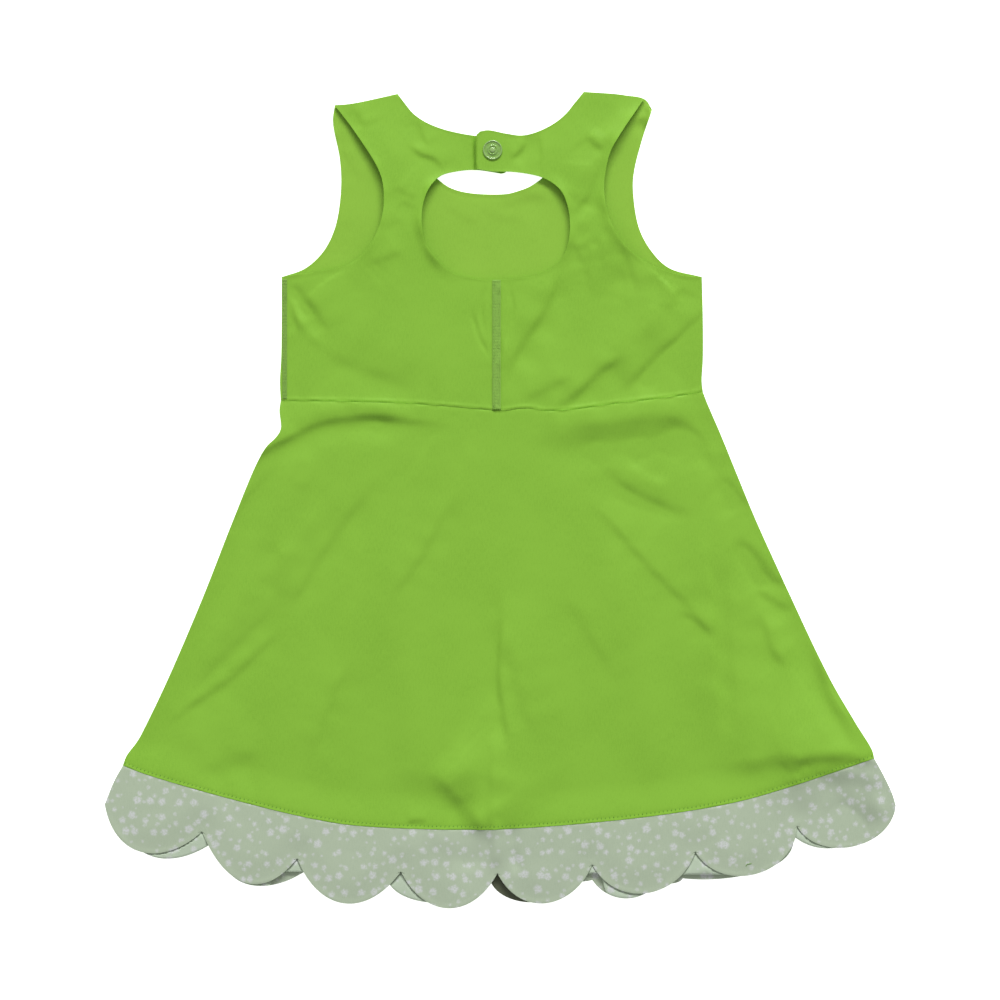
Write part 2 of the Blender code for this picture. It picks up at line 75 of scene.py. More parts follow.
class Side(Enum):
    """The wearer's sides as the back is seen from above."""
    LEFT = -1
    RIGHT = 1


class Relief(Enum):
    """The forms a crease takes across its path."""
    RIDGE = "ridge"
    STEP = "step"
    FOLD = "fold"


class Spot(NamedTuple):
    """A place on the flat dress."""
    x: float
    y: float


class Box(NamedTuple):
    """A rectangle on the flat dress."""
    left: float
    right: float
    bottom: float
    top: float


class Crease(NamedTuple):
    """A crease along a path: a ridge, a step down to the path's right, or a fold that leans there."""
    relief: Relief
    rise: float
    width: float
    path: tuple[Place, ...]


class Rim(NamedTuple):
    """A soft rise beside an edge, or a groove where it is negative."""
    rise: float
    inset: float
    width: float


class Scallop(NamedTuple):
    """One scallop of a hem, from its left notch to the next one's, and how deep and round it is."""
    left_x: float
    left_y: float
    depth: float
    lean: float = 0.0
    fullness: float = 78.0


class Nearness(NamedTuple):
    """How points lie to a run: distance, place along it, its length, and +1 on its left side."""
    distance: Array
    along: Array
    length: float
    side: Array


def spots(*places: Place) -> tuple[Spot, ...]:
    """Makes a table of places."""
    return tuple(Spot(*place) for place in places)


def crease_table(*rows: tuple[Relief, float, float, tuple[Place, ...]]) -> tuple[Crease, ...]:
    """Makes a table of creases, whose order gives each one its own unevenness."""
    return tuple(Crease(*row) for row in rows)


# Outlines of the cut pieces
LEFT_SIDE_BODICE = spots(
    (-152.6, 156.1), (-152.7, 120.0), (-153.0, 99.8), (-153.9, 82.5), (-153.3, 69.3))
RIGHT_SIDE_BODICE = spots(
    (141.2, 156.1), (142.0, 120.0), (141.9, 98.0), (141.1, 83.0), (141.9, 75.6))
FRONT_ARMHOLE_LEFT = spots(
    (-152.6, 156.1), (-136.5, 162.0), (-123.9, 173.6), (-115.5, 190.4),
    (-111.3, 217.0), (-112.0, 238.0), (-116.9, 264.6), (-115.6, 276.4))
FRONT_ARMHOLE_RIGHT = spots(
    (106.4, 273.0), (99.4, 252.0), (93.8, 229.6), (93.1, 217.0),
    (97.3, 190.4), (106.4, 173.6), (118.3, 162.4), (141.2, 156.1))
FRONT_NECK = spots(
    (-71.4, 284.2), (-66.5, 262.5), (-57.4, 241.5), (-46.0, 227.0),
    (-37.4, 219.9), (-29.0, 216.4), (-16.4, 214.3), (4.5, 214.2), (12.9, 216.3),
    (21.3, 219.6), (30.8, 226.6), (42.0, 241.5), (51.1, 262.5), (58.1, 285.2))
SHOULDER_LEFT = spots((-115.6, 276.4), (-101.5, 277.5), (-71.4, 284.2))
SHOULDER_RIGHT = spots((58.1, 285.2), (84.0, 283.5), (101.5, 280.3), (106.4, 273.0))
BACK_ARMHOLE_LEFT = spots(
    (-152.6, 156.1), (-128.8, 159.6), (-106.8, 164.5), (-92.7, 175.7),
    (-83.6, 193.9), (-81.2, 210.0), (-83.6, 227.5), (-100.8, 256.2),
    (-115.5, 275.8))
BACK_ARMHOLE_RIGHT = spots(
    (100.7, 280.4), (94.9, 271.7), (84.1, 255.6), (77.4, 243.6), (74.2, 231.7),
    (72.8, 215.6), (77.0, 195.3), (86.1, 179.2), (100.1, 167.3), (124.6, 157.5),
    (141.2, 156.1))
BACK_SHOULDER_LEFT = spots((-115.5, 275.8), (-101.5, 277.5), (-71.6, 284.0))
BACK_SHOULDER_RIGHT = spots((58.6, 285.4), (84.0, 283.5), (100.7, 280.4))
BACK_NECK_LEFT = spots(
    (-71.6, 284.0), (-65.5, 276.0), (-61.0, 270.6), (-52.8, 264.6), (-40.6, 259.5),
    (-27.6, 256.3), (-17.5, 254.8), (2.1, 254.4))
UNDER_END = spots((2.1, 254.4), (5.2, 243.0), (5.4, 232.0), (3.8, 228.9), (0.8, 228.1))
KEYHOLE_LEFT = spots(
    (0.8, 228.1), (-6.0, 229.3), (-17.4, 230.7), (-29.9, 229.6), (-41.0, 226.6),
    (-47.2, 221.0), (-51.8, 213.0), (-54.6, 199.5), (-52.5, 181.3), (-44.4, 168.7),
    (-32.2, 158.2), (-16.1, 154.3), (-2.8, 154.0))
KEYHOLE_RIGHT = spots(
    (-2.8, 154.0), (17.8, 155.4), (32.2, 159.6), (42.0, 167.3), (47.9, 181.3),
    (48.3, 199.5), (44.1, 213.5), (38.6, 220.0), (30.1, 225.1), (22.3, 227.3),
    (8.0, 229.1), (-5.0, 229.4), (-16.3, 231.1))
TAB_END = spots((-16.3, 231.1), (-16.8, 238.0), (-16.9, 252.4), (-16.2, 255.4), (-14.0, 257.4))
BACK_NECK_RIGHT = spots(
    (-14.0, 257.4), (-8.4, 258.3), (4.5, 255.9), (15.0, 254.7), (25.5, 257.2),
    (38.1, 263.5), (46.5, 270.5), (50.8, 275.9), (58.6, 285.4))
WAIST_LEFT = spots(
    (-153.3, 69.3), (-100.8, 68.6), (-60.9, 67.2), (-32.2, 65.1), (-2.8, 62.5))
WAIST_RIGHT = spots(
    (-2.8, 62.5), (3.7, 62.4), (11.6, 63.6), (18.7, 64.1), (23.7, 63.6),
    (29.4, 62.4), (36.6, 62.3), (51.8, 63.3), (79.8, 67.2), (120.4, 72.1),
    (141.9, 75.6))
SKIRT_LEFT = spots(
    (-153.3, 69.3), (-154.2, 63.0), (-153.2, 49.5), (-156.6, 43.8), (-162.8, 37.8),
    (-169.6, 26.7), (-186.6, -14.0), (-208.6, -70.0), (-232.6, -126.0),
    (-245.9, -154.0), (-253.4, -168.3), (-261.2, -179.0), (-263.6, -185.5))
SKIRT_RIGHT = spots(
    (141.9, 75.6), (143.8, 70.3), (148.6, 59.1), (153.5, 47.9), (178.9, -14.0),
    (204.4, -70.0), (231.0, -126.0), (247.1, -154.0), (259.6, -174.6), (261.0, -180.2))
HEM_SEAM = spots(
    (-263.6, -185.5), (-249.2, -191.1), (-184.1, -210.0), (-128.1, -223.3),
    (-100.1, -227.5), (-30.1, -230.3), (20.3, -228.9), (103.6, -221.2),
    (166.6, -210.7), (211.4, -197.4), (261.0, -180.2))
BAND_END_LEFT = spots((-263.6, -185.5), (-269.5, -196.0), (-276.3, -212.5))
BAND_END_RIGHT = spots((261.0, -180.2), (267.7, -192.0), (274.1, -205.2), (276.6, -213.5))
BACK_SCALLOPS = (
    Scallop(-276.3, -212.5, 25.3, -0.03, 52.0), Scallop(-208.2, -231.7, 26.2, 0.07, 35.0),
    Scallop(-141.7, -250.6, 27.0, 0.0, 48.0), Scallop(-69.3, -259.7, 25.1, 0.0, 52.0),
    Scallop(-1.8, -260.8, 24.0, -0.03, 62.0), Scallop(64.4, -254.8, 24.6, -0.02, 68.0),
    Scallop(136.5, -245.7, 25.5), Scallop(207.6, -227.9, 22.0), Scallop(276.6, -213.5, 0.0))
FRONT_SCALLOPS = (
    Scallop(-268.0, -212.0, 26.5, -0.03, 46.0), Scallop(-198.5, -238.0, 22.2, -0.06, 45.0),
    Scallop(-136.0, -259.6, 14.0, 0.0, 45.0), Scallop(-78.0, -267.5, 15.2), Scallop(-7.0, -266.0, 15.2),
    Scallop(50.0, -266.8, 0.8), Scallop(64.5, -265.8, 13.0, 0.0, 55.0), Scallop(112.0, -266.0, 3.0),
    Scallop(128.0, -264.8, 14.8, 0.18, 50.0), Scallop(205.5, -235.2, 21.0, 0.0, 68.0),
    Scallop(270.0, -207.0, 0.0))

RIDGE, STEP, FOLD = Relief.RIDGE, Relief.STEP, Relief.FOLD

# The dress's largest folds, which the solids have too
LARGE_FOLDS = crease_table(
    (RIDGE, 0.55, 8.0, ((-150, 54), (-122, 62), (-98, 64), (-62, 62))),
    (RIDGE, -1.2, 9.0, ((-162, 28), (-138, 43), (-106, 51), (-66, 50))),
    (RIDGE, 0.9, 11.0, ((32, 51), (63, 55), (95, 59), (136, 66))),
    (RIDGE, -0.9, 13.0, ((35, 33), (63, 36), (95, 38), (140, 42))),
    (RIDGE, -0.8, 11.0, ((74, 23), (88, 7), (106, -1), (134, -7))),
    (RIDGE, -1.2, 10.0, ((163, -27), (184, -45), (195, -66))),
    (RIDGE, -0.8, 10.0, ((213, -98), (223, -127), (238, -158))),
    (RIDGE, 1.0, 14.0, ((141, -9), (147, -66), (149, -116), (153, -166))),
    (RIDGE, 1.4, 28.0, ((18, -60), (20, -120), (24, -180), (20, -255))),
    (RIDGE, -1.8, 9.0, ((-30, -204), (-24, -224), (-22, -262))),
    (RIDGE, -0.7, 16.0, ((-80, 13), (-123, -34), (-155, -80), (-234, -159))),
    (RIDGE, 0.7, 15.0, ((-159, -55), (-190, -80), (-226, -120))),
    (RIDGE, 1.0, 22.0, ((-60, -10), (-84, -70), (-112, -130), (-128, -200))),
    (RIDGE, 1.2, 16.0, ((70, -20), (92, -90), (104, -150), (112, -215))),
    (RIDGE, -0.9, 13.0, ((-121, 107), (-97, 95), (-52, 76))),
    (RIDGE, -0.4, 12.0, ((42, 158), (32, 130), (20, 113), (10, 90))),
    (RIDGE, 0.3, 15.0, ((58, 150), (48, 120), (36, 95))),
    (RIDGE, -0.9, 11.0, ((88, 83), (118, 113), (136, 127))),
    (RIDGE, 0.8, 13.0, ((76, 100), (96, 124), (118, 142))),
    (FOLD, 2.0, 5.0, ((-118, 272), (-104, 256), (-88, 229), (-85, 210), (-87, 193), (-98, 172),
                      (-112, 160))),
    (FOLD, 2.4, 5.0, ((108, 160), (90, 180), (80, 196), (76, 215), (78, 232), (88, 255), (99, 272),
                      (108, 286))),
    (RIDGE, -1.2, 7.0, ((68, 240), (62, 217), (52, 202))))

# Creases of the skirt
SKIRT_CREASES = crease_table(
    (FOLD, 0.9, 3.2, ((-220, 0), (-190, 19), (-164, 34), (-146, 44), (-131, 51), (-116, 55.5),
                      (-98, 57.5), (-62, 55), (-22, 50))),
    (FOLD, 0.8, 5.0, ((-222, -8), (-190, 14), (-167, 30), (-150, 41), (-124, 50))),
    (STEP, 0.25, 2.2, ((-106, 60), (-86, 58), (-60, 58))),
    (STEP, 0.42, 7.5, ((16, 38), (60, 44.5), (92, 49.5), (126, 55), (176, 62))),
    (STEP, 0.1, 2.6, ((44, 48), (72, 52), (98, 55), (124, 58))),
    (STEP, 0.3, 2.6, ((112, 58), (134, 50), (146, 30), (150, 14))),
    (STEP, 0.4, 3.2, ((70, 27), (84, 12), (99, 3), (117, -5), (139, -10))),
    (STEP, -0.2, 2.6, ((86, 30), (102, 18), (122, 10))),
    (STEP, 0.35, 3.0, ((152, 18), (163, 8), (173, -6))),
    (STEP, 0.5, 3.0, ((161, -26), (173, -33), (184, -45), (196, -64))),
    (STEP, 0.35, 2.2, ((172, -46), (186, -53), (200, -60))),
    (STEP, 0.3, 2.2, ((176, -60), (190, -70), (206, -78))),
    (STEP, 0.4, 2.4, ((183, -78), (187, -98), (193, -110), (203, -119))),
    (FOLD, 1.5, 4.6, ((213, -88), (219.5, -108), (226.5, -130), (236, -149), (250, -176))),
    (FOLD, 2.0, 9.5, ((144, -192), (178, -186), (202, -182), (224, -180), (246, -181), (276, -190))),
    (FOLD, 0.9, 5.0, ((182, -190), (210, -182), (240, -181), (286, -190))),
    (FOLD, 1.2, 8.0, ((192, -203), (212, -195), (238, -192), (274, -202))),
    (STEP, 0.8, 12.0, ((172, -212), (206, -208), (236, -211), (264, -217), (292, -224))),
    (RIDGE, 1.5, 7.5, ((258, -176), (261, -198), (263, -220), (262, -250))),
    (RIDGE, -0.8, 9.0, ((226, -190), (236, -206), (243, -222), (246, -244))),
    (STEP, 0.25, 2.0, ((56, 4), (80, -20), (105, -48), (130, -73), (149, -96))),
    (STEP, 0.3, 1.6, ((124, -78), (138, -84), (150, -98))),
    (STEP, 0.35, 2.6, ((156, -176), (154, -146), (151.5, -116), (149, -68), (146, -42), (142, -18))),
    (STEP, -0.3, 3.0, ((166, -170), (163, -140), (161, -110), (159, -70), (156, -40))),
    (STEP, 0.55, 1.9, ((1, -56), (0, -92), (-2.3, -114), (-0.7, -139), (4.7, -164), (9, -186))),
    (RIDGE, -0.5, 1.7, ((1, -84), (-2.3, -114), (-0.9, -139), (3, -158))),
    (STEP, -0.3, 3.4, ((27, -176), (15, -140), (8, -112), (6, -92))),
    (STEP, 0.2, 3.0, ((42, -60), (62, -94), (84, -132))),
    (FOLD, 1.15, 14.0, ((-82, -198), (-50, -196), (-20, -198), (24, -206))),
    (FOLD, 2.3, 8.0, ((-54, -190), (-41, -200), (-31, -210), (-22, -221), (-8, -242))),
    (FOLD, 0.8, 11.0, ((-62, -238), (-40, -243), (-20, -245), (10, -243))),
    (STEP, -0.36, 2.4, ((-8, -268), (-7, -236), (-7, -206), (-6.5, -176), (-6, -150))),
    (RIDGE, 0.9, 4.0, ((-2, -220), (-2, -240), (-3, -262))),
    (RIDGE, -0.8, 4.0, ((9, -226), (10, -244), (12, -264))),
    (STEP, 0.3, 2.6, ((-152, -84), (-138, -62), (-126, -41), (-101, -5), (-80, 20))),
    (STEP, 0.16, 2.2, ((-219, -137), (-196, -112), (-174, -90), (-156, -72))),
    (STEP, 0.3, 1.9, ((-238, -162), (-214, -143), (-191, -127), (-166, -104), (-146, -84))),
    (STEP, -0.12, 2.4, ((-228, -150), (-206, -130), (-182, -108), (-164, -92))),
    (STEP, 0.2, 2.6, ((-192, -24), (-176, 2), (-154, 28))),
    (STEP, -0.22, 2.8, ((-157, -70), (-156, -48), (-154, -26))),
    (STEP, 0.25, 2.2, ((-78, -72), (-66, -56), (-51, -34), (-33, 3))),
    (STEP, 0.25, 2.4, ((-134, -182), (-126, -166), (-119, -144), (-101, -108))),
    (STEP, 0.35, 5.0, ((-214, -196), (-192, -184), (-162, -176))),
    (STEP, 0.12, 2.0, ((-40, 52), (-56, 30), (-68, 6))),
    (STEP, 0.14, 2.2, ((-22, 44), (-30, 14), (-40, -12))),
    (STEP, 0.3, 1.4, ((-66, -225.5), (-58, -224), (-50, -225))),
    (STEP, 0.3, 1.8, ((203, -192), (208, -186), (214, -180))),
    (RIDGE, 0.3, 5.0, ((-137, 34), (-134, 20), (-142, 4))),
    (RIDGE, 0.4, 7.0, ((-120, 0), (-146, -34), (-168, -62))))

# Creases of the back bodice
BODICE_CREASES = crease_table(
    (STEP, 0.4, 2.6, ((-147, 154), (-136, 141), (-125, 126), (-119, 116))),
    (STEP, -0.3, 2.2, ((-149, 150), (-144, 138), (-138, 124), (-133, 112))),
    (STEP, 0.3, 1.8, ((-147, 146), (-143, 127), (-139, 116))),
    (STEP, 0.36, 4.6, ((-128, 108), (-111, 98), (-95, 91), (-73, 83), (-54, 75))),
    (RIDGE, -0.4, 1.2, ((-10.5, 112), (-12.8, 130), (-12.4, 140), (-8.5, 154))),
    (RIDGE, -0.4, 1.3, ((-7, 98), (-12, 108), (-15, 114), (-21, 136))),
    (RIDGE, -0.45, 1.3, ((3, 104), (6.4, 120), (9.1, 134), (8, 142), (5.6, 154))),
    (STEP, 0.56, 2.8, ((0, 76), (7, 92), (14.3, 106), (26, 124), (34, 136), (39.4, 152), (42, 176))),
    (STEP, 0.58, 2.8, ((34, 60), (54, 74), (68, 87), (90, 104))),
    (STEP, 0.68, 3.6, ((78, 70), (97, 88), (112, 103), (126, 115), (150, 138))),
    (STEP, 0.28, 3.0, ((14, 67), (32, 77), (53, 88))),
    (STEP, 0.34, 2.4, ((80, 186), (83, 180), (89, 168), (94, 155), (97, 143))),
    (STEP, 0.2, 2.0, ((50, 182), (54, 174), (59, 163))),
    (STEP, 0.18, 1.8, ((62, 180), (62, 170), (61, 160))),
    (STEP, 0.18, 2.0, ((68, 186), (71, 174), (72, 160))),
    (STEP, 0.16, 2.2, ((104, 142), (102, 128), (99, 112))),
    (STEP, 0.2, 2.0, ((120, 132), (123, 142), (126, 150))),
    (STEP, 0.55, 2.6, ((48, 198), (60, 209), (66, 221), (70, 234), (69, 247))),
    (STEP, 0.3, 2.2, ((60, 256), (66, 249), (73, 243))),
    (STEP, 0.3, 1.2, ((7, 237), (12.3, 241.5), (17.5, 248.5), (16, 257))),
    (STEP, -0.22, 1.1, ((28, 224), (28.6, 240), (28, 260))),
    (STEP, 0.22, 1.4, ((-59, 268), (-55, 256), (-51, 246))),
    (STEP, 0.3, 1.4, ((-66, 250), (-55, 241), (-46, 238), (-38, 228))),
    (STEP, 0.25, 2.0, ((-104, 275), (-99, 268), (-95, 259))),
    (STEP, 0.1, 2.2, ((-83, 189), (-76, 193), (-68, 197))),
    (STEP, 0.18, 2.4, ((-94, 163), (-80, 169), (-66, 175))),
    (STEP, 0.18, 2.0, ((-74, 220), (-66, 214), (-56, 211))),
    (STEP, 0.15, 1.8, ((-70, 210), (-62, 205), (-56, 204))),
    (STEP, 0.25, 2.6, ((84, 276), (78, 262), (70, 250))),
    (RIDGE, -1.3, 1.2, ((-17.4, 270), (-17.6, 256), (-17.6, 240), (-17.4, 216))),
    (RIDGE, 0.5, 4.0, ((-102, 258), (-90, 240), (-82.5, 220), (-82, 198), (-88, 180), (-102, 166))),
    (RIDGE, 0.95, 4.0, ((112, 292), (98, 276), (84, 255), (76, 238), (73, 216), (76, 196),
                        (86, 179), (102, 164))),
    (RIDGE, 1.3, 4.0, ((-26, 232), (-44, 224), (-51, 213), (-54.5, 198), (-52, 180), (-42, 165),
                       (-28, 154))),
    (RIDGE, 0.8, 4.0, ((24, 230), (40, 219), (47, 205), (48.5, 190), (46, 174), (36, 160))),
    (RIDGE, 0.35, 3.6, ((-151, 152), (-146, 138), (-134, 118), (-120, 104))),
    (STEP, 0.16, 1.8, ((56, 170), (62, 156), (64, 140))),
    (STEP, 0.16, 2.0, ((84, 166), (88, 150), (86, 132))),
    (STEP, 0.14, 1.8, ((110, 160), (113, 146), (112, 130))),
    (RIDGE, 0.25, 5.0, ((52, 190), (60, 196), (66, 206))))

# Creases of the front's inner side, where the armholes and the keyhole show it
FRONT_CREASES = crease_table(
    (STEP, 0.22, 2.4, ((-2, 205), (12, 209), (34, 214))),
    (STEP, 0.14, 2.0, ((-40, 207), (-30, 200), (-14, 192))),
    (STEP, 0.1, 1.8, ((8, 216), (22, 213), (40, 207))),
    (STEP, 0.12, 2.0, ((-16, 204), (0, 197), (20, 194))),
    (RIDGE, 2.4, 3.2, ((105.5, 279), (105, 268), (101.5, 258))),
    (STEP, 0.5, 1.6, ((92, 262), (98, 265), (104, 268))),
    (RIDGE, 1.2, 2.4, ((-117, 279), (-117.5, 266), (-114.5, 250))),
    (STEP, 0.2, 1.8, ((-112, 246), (-104, 236), (-98, 222))),
    (STEP, 0.15, 1.6, ((-118, 170), (-113, 182), (-112, 196))),
    (STEP, 0.15, 1.6, ((104, 172), (98, 186), (95, 200))))

# Shallow creases of the front's outer side, which lies face down
FACE_DOWN_CREASES = crease_table(
    (RIDGE, 0.5, 7.0, ((-120, 100), (-80, 84), (-40, 78))),
    (RIDGE, 0.45, 6.0, ((116, 112), (84, 92), (48, 84))),
    (RIDGE, 0.4, 5.0, ((20, 150), (12, 124), (4, 96))),
    (RIDGE, 0.35, 5.0, ((-60, 152), (-44, 128), (-34, 98))),
    (RIDGE, 0.4, 4.0, ((-98, 230), (-94, 206), (-100, 184))),
    (RIDGE, 0.4, 4.0, ((84, 236), (82, 208), (90, 184))),
    (RIDGE, 0.6, 8.0, ((-140, 40), (-104, 50), (-60, 48))),
    (RIDGE, 0.55, 9.0, ((136, 44), (92, 40), (50, 48))),
    (RIDGE, 0.5, 11.0, ((-90, 20), (-130, -50), (-176, -120), (-226, -170))),
    (RIDGE, 0.5, 10.0, ((96, 10), (134, -60), (176, -124), (216, -176))),
    (RIDGE, 0.45, 9.0, ((-8, 30), (-16, -60), (-10, -150), (-20, -220))),
    (RIDGE, 0.4, 8.0, ((-62, -20), (-84, -110), (-92, -210))),
    (RIDGE, 0.4, 8.0, ((58, -30), (70, -120), (86, -206))))


def smoothstep(value: Array) -> Array:
    """Goes from 0 to 1 with a soft start and end."""
    t = np.clip(value, 0.0, 1.0)
    return t * t * (3.0 - 2.0 * t)


def bell(value: Array) -> Array:
    """Falls from 1 at 0 to nothing on either side."""
    return np.exp(-(value ** 2))


def soft_positive(value: Array, blend: float) -> Array:
    """Keeps a value above 0, with a soft turn of the given size."""
    return 0.5 * (value + np.sqrt(value * value + blend))


class Ramp(NamedTuple):
    """A smooth rise from 0 at a start to 1 a reach further on, or back where the reach is negative."""
    start: float
    reach: float

    def at(self, value: Array) -> Array:
        """Gives its share at a value."""
        return smoothstep((value - self.start) / self.reach)


def through(points: Sequence[tuple[float, float]], step: float = 2.0) -> list[Array]:
    """Samples a smooth curve through points.

    Args:
        points: Places that the curve passes, with both of its ends.
        step: Distance between samples.

    Returns:
        The samples in order.
    """
    ends = [2 * np.array(points[0]) - np.array(points[1]), 2 * np.array(points[-1]) - np.array(points[-2])]
    knots = [ends[0]] + [np.array(point, dtype=float) for point in points] + [ends[1]]
    curve = [np.array(points[0], dtype=float)]
    for before, start, stop, after in zip(knots, knots[1:], knots[2:], knots[3:]):
        reach = np.linalg.norm(stop - start)
        near = max(math.sqrt(np.linalg.norm(start - before)), 0.1)
        middle = max(math.sqrt(reach), 0.1)
        far = max(math.sqrt(np.linalg.norm(after - stop)), 0.1)
        leave = (start - before) / near - (stop - before) / (near + middle) + (stop - start) / middle
        arrive = (stop - start) / middle - (after - start) / (middle + far) + (after - stop) / far
        parts = max(1, round(reach / step))
        for part in range(1, parts + 1):
            t = part / parts
            curve.append(
                start * (2 * t**3 - 3 * t**2 + 1) + stop * (3 * t**2 - 2 * t**3)
                + leave * middle * (t**3 - 2 * t**2 + t) + arrive * middle * (t**3 - t**2))
    return curve


def waist_seam() -> list[Array]:
    """Gives the waist seam from left to right."""
    return through(WAIST_LEFT) + through(WAIST_RIGHT)[1:]


def joined(*runs: Run) -> list[Array]:
    """Joins runs end to end into one closed outline, without its doubled corners.

    Args:
        runs: The runs, each of which starts where the one before it stops.

    Returns:
        The outline.
    """
    outline: list[Array] = []
    for run in runs:
        for point in run:
            if not outline or np.linalg.norm(point - outline[-1]) > SAME_PLACE:
                outline.append(point)
    while np.linalg.norm(outline[0] - outline[-1]) < SAME_PLACE:
        outline.pop()
    return outline


def shifted(run: Run, across: float = 0.0, up: float = 0.0) -> list[Array]:
    """Moves a run across and up the dress."""
    return [point + np.array((across, up)) for point in run]


def lengths_along(line: Array) -> Array:
    """Gives how far each of a line's points lies along it."""
    return np.concatenate([[0.0], np.cumsum(np.linalg.norm(np.diff(line, axis=0), axis=1))])


def twice_area(line: Array) -> float:
    """Gives twice a closed line's area, which is positive where it runs anticlockwise."""
    return np.sum(line[:, 0] * np.roll(line[:, 1], -1) - line[:, 1] * np.roll(line[:, 0], -1))


def resampled(run: Run, step: float) -> list[Array]:
    """Divides a run into even steps.

    Args:
        run: The run's points.
        step: Distance between the new points.

    Returns:
        The new points in order.
    """
    line = np.array(run)
    lengths = lengths_along(line)
    places = np.linspace(0.0, lengths[-1], max(2, round(lengths[-1] / step) + 1))
    return list(np.stack([np.interp(places, lengths, line[:, axis]) for axis in (0, 1)], axis=1))


def scallop_edge(scallops: Sequence[Scallop], inset: float = 0.0, parts: int = 36) -> list[Array]:
    """Runs along a scalloped edge, each scallop an arc below the line between its notches.

    Args:
        scallops: The scallops from left to right, and a last one for the end of the edge.
        inset: How far the edge is drawn in.
        parts: Points along one scallop.

    Returns:
        The edge from left to right.
    """
    notches = [np.array((scallop.left_x, scallop.left_y)) for scallop in scallops]
    edge = [notches[0] + np.array((inset, inset))]
    for scallop, start, stop in zip(scallops, notches, notches[1:]):
        half_angle = math.radians(scallop.fullness)
        deepest = 1.0 - math.cos(half_angle)
        chord = stop - start
        down = np.array((chord[1], -chord[0])) / np.linalg.norm(chord)
        for part in range(1, parts + 1):
            angle = half_angle * (2.0 * part / parts - 1.0)
            along = 0.5 + 0.5 * math.sin(angle) / math.sin(half_angle)
            along += scallop.lean * 4.0 * along * (1.0 - along)
            depth = scallop.depth * (math.cos(angle) - math.cos(half_angle)) / deepest
            edge.append(start + along * chord + down * (depth - inset))
    return edge


def nearest(run: Run, points: Array) -> Nearness:
    """Measures how points lie to a run.

    Args:
        run: The run's points.
        points: Places to measure from.

    Returns:
        Their distances, places along the run, its length and their sides of it.
    """
    line = np.array(run)
    lengths = lengths_along(line)
    least = np.full(len(points), np.inf)
    along = np.zeros(len(points))
    side = np.ones(len(points))
    for index in range(len(line) - 1):
        step = line[index + 1] - line[index]
        offset = points - line[index]
        t = np.clip((offset @ step) / (step @ step), 0.0, 1.0)
        away = offset - t[:, None] * step
        squared = away[:, 0] ** 2 + away[:, 1] ** 2
        closer = squared < least
        least = np.where(closer, squared, least)
        place = lengths[index] + t * (lengths[index + 1] - lengths[index])
        along = np.where(closer, place, along)
        turn = step[0] * away[:, 1] - step[1] * away[:, 0]
        side = np.where(closer, np.where(turn >= 0.0, 1.0, -1.0), side)
    return Nearness(np.sqrt(least), along, float(lengths[-1]), side)


def from_outline(outline: list[Array], points: Array) -> Array:
    """Gives each point's distance from a closed outline."""
    return nearest(outline + outline[:1], points).distance


def inside(outline: Run, points: Array) -> Array:
    """Tells which points lie inside a closed outline.

    Args:
        outline: The outline's points.
        points: Places to test.

    Returns:
        True for each point inside.
    """
    within = np.zeros(len(points), dtype=bool)
    for start, stop in zip(outline, list(outline[1:]) + [outline[0]]):
        crosses = (start[1] > points[:, 1]) != (stop[1] > points[:, 1])
        rise = stop[1] - start[1] if stop[1] != start[1] else 1.0
        at_x = start[0] + (points[:, 1] - start[1]) * (stop[0] - start[0]) / rise
        within ^= crosses & (points[:, 0] < at_x)
    return within


@dataclass(frozen=True)
class Waves:
    """A seeded sum of gentle plane waves, which keeps cloth from lying dead flat."""
    seed: int
    height: float
    shortest: float
    longest: float
    spread: float = math.pi
    count: int = 7

    def at(self, points: Array) -> Array:
        """Gives the waves' height.

        Args:
            points: Places to find it at.

        Returns:
            The heights.
        """
        chance = np.random.default_rng(self.seed)
        total = np.zeros(len(points))
        for _ in range(self.count):
            length = chance.uniform(self.shortest, self.longest)
            angle = chance.uniform(-self.spread, self.spread)
            phase = chance.uniform(0.0, math.tau)
            heading = np.array((math.cos(angle), math.sin(angle)))
            total += np.sin(math.tau * (points @ heading) / length + phase) * length / self.longest
        return self.height * total / math.sqrt(self.count)

    def beside(self, near: Nearness, reach: float) -> Array:
        """Gives puckers that run along a seam and die away within a reach of it."""
        line = np.stack([near.along, np.zeros(len(near.along))], axis=1)
        return self.at(line) * np.exp(-near.distance / reach) * smoothstep(near.distance / 1.2)


# How far a crease strays from its path, in X and in Y
WANDER = (Waves(11, 0.7, 16.0, 44.0), Waves(12, 0.7, 16.0, 44.0))
# Broad and fine unevenness of the cloth that lies free
BROAD_WAVES = Waves(21, 0.2, 28.0, 80.0, 0.7)
FINE_WAVES = Waves(22, 0.03, 9.0, 20.0)
INNER_WAVES = Waves(41, 0.05, 12.0, 40.0)
# Puckers beside seams and edges
KEYHOLE_PUCKERS = Waves(31, 0.1, 6.0, 15.0)
ARMHOLE_PUCKERS = Waves(32, 0.08, 7.0, 18.0)
NECK_PUCKERS = Waves(33, 0.08, 6.0, 15.0)
WAIST_PUCKERS = Waves(34, 0.3, 6.0, 20.0)
CENTRE_PUCKERS = Waves(35, 0.12, 7.0, 16.0)
HEM_PUCKERS = Waves(51, 0.2, 4.0, 11.0)
SCALLOP_PUCKERS = Waves(61, 0.12, 8.0, 24.0)


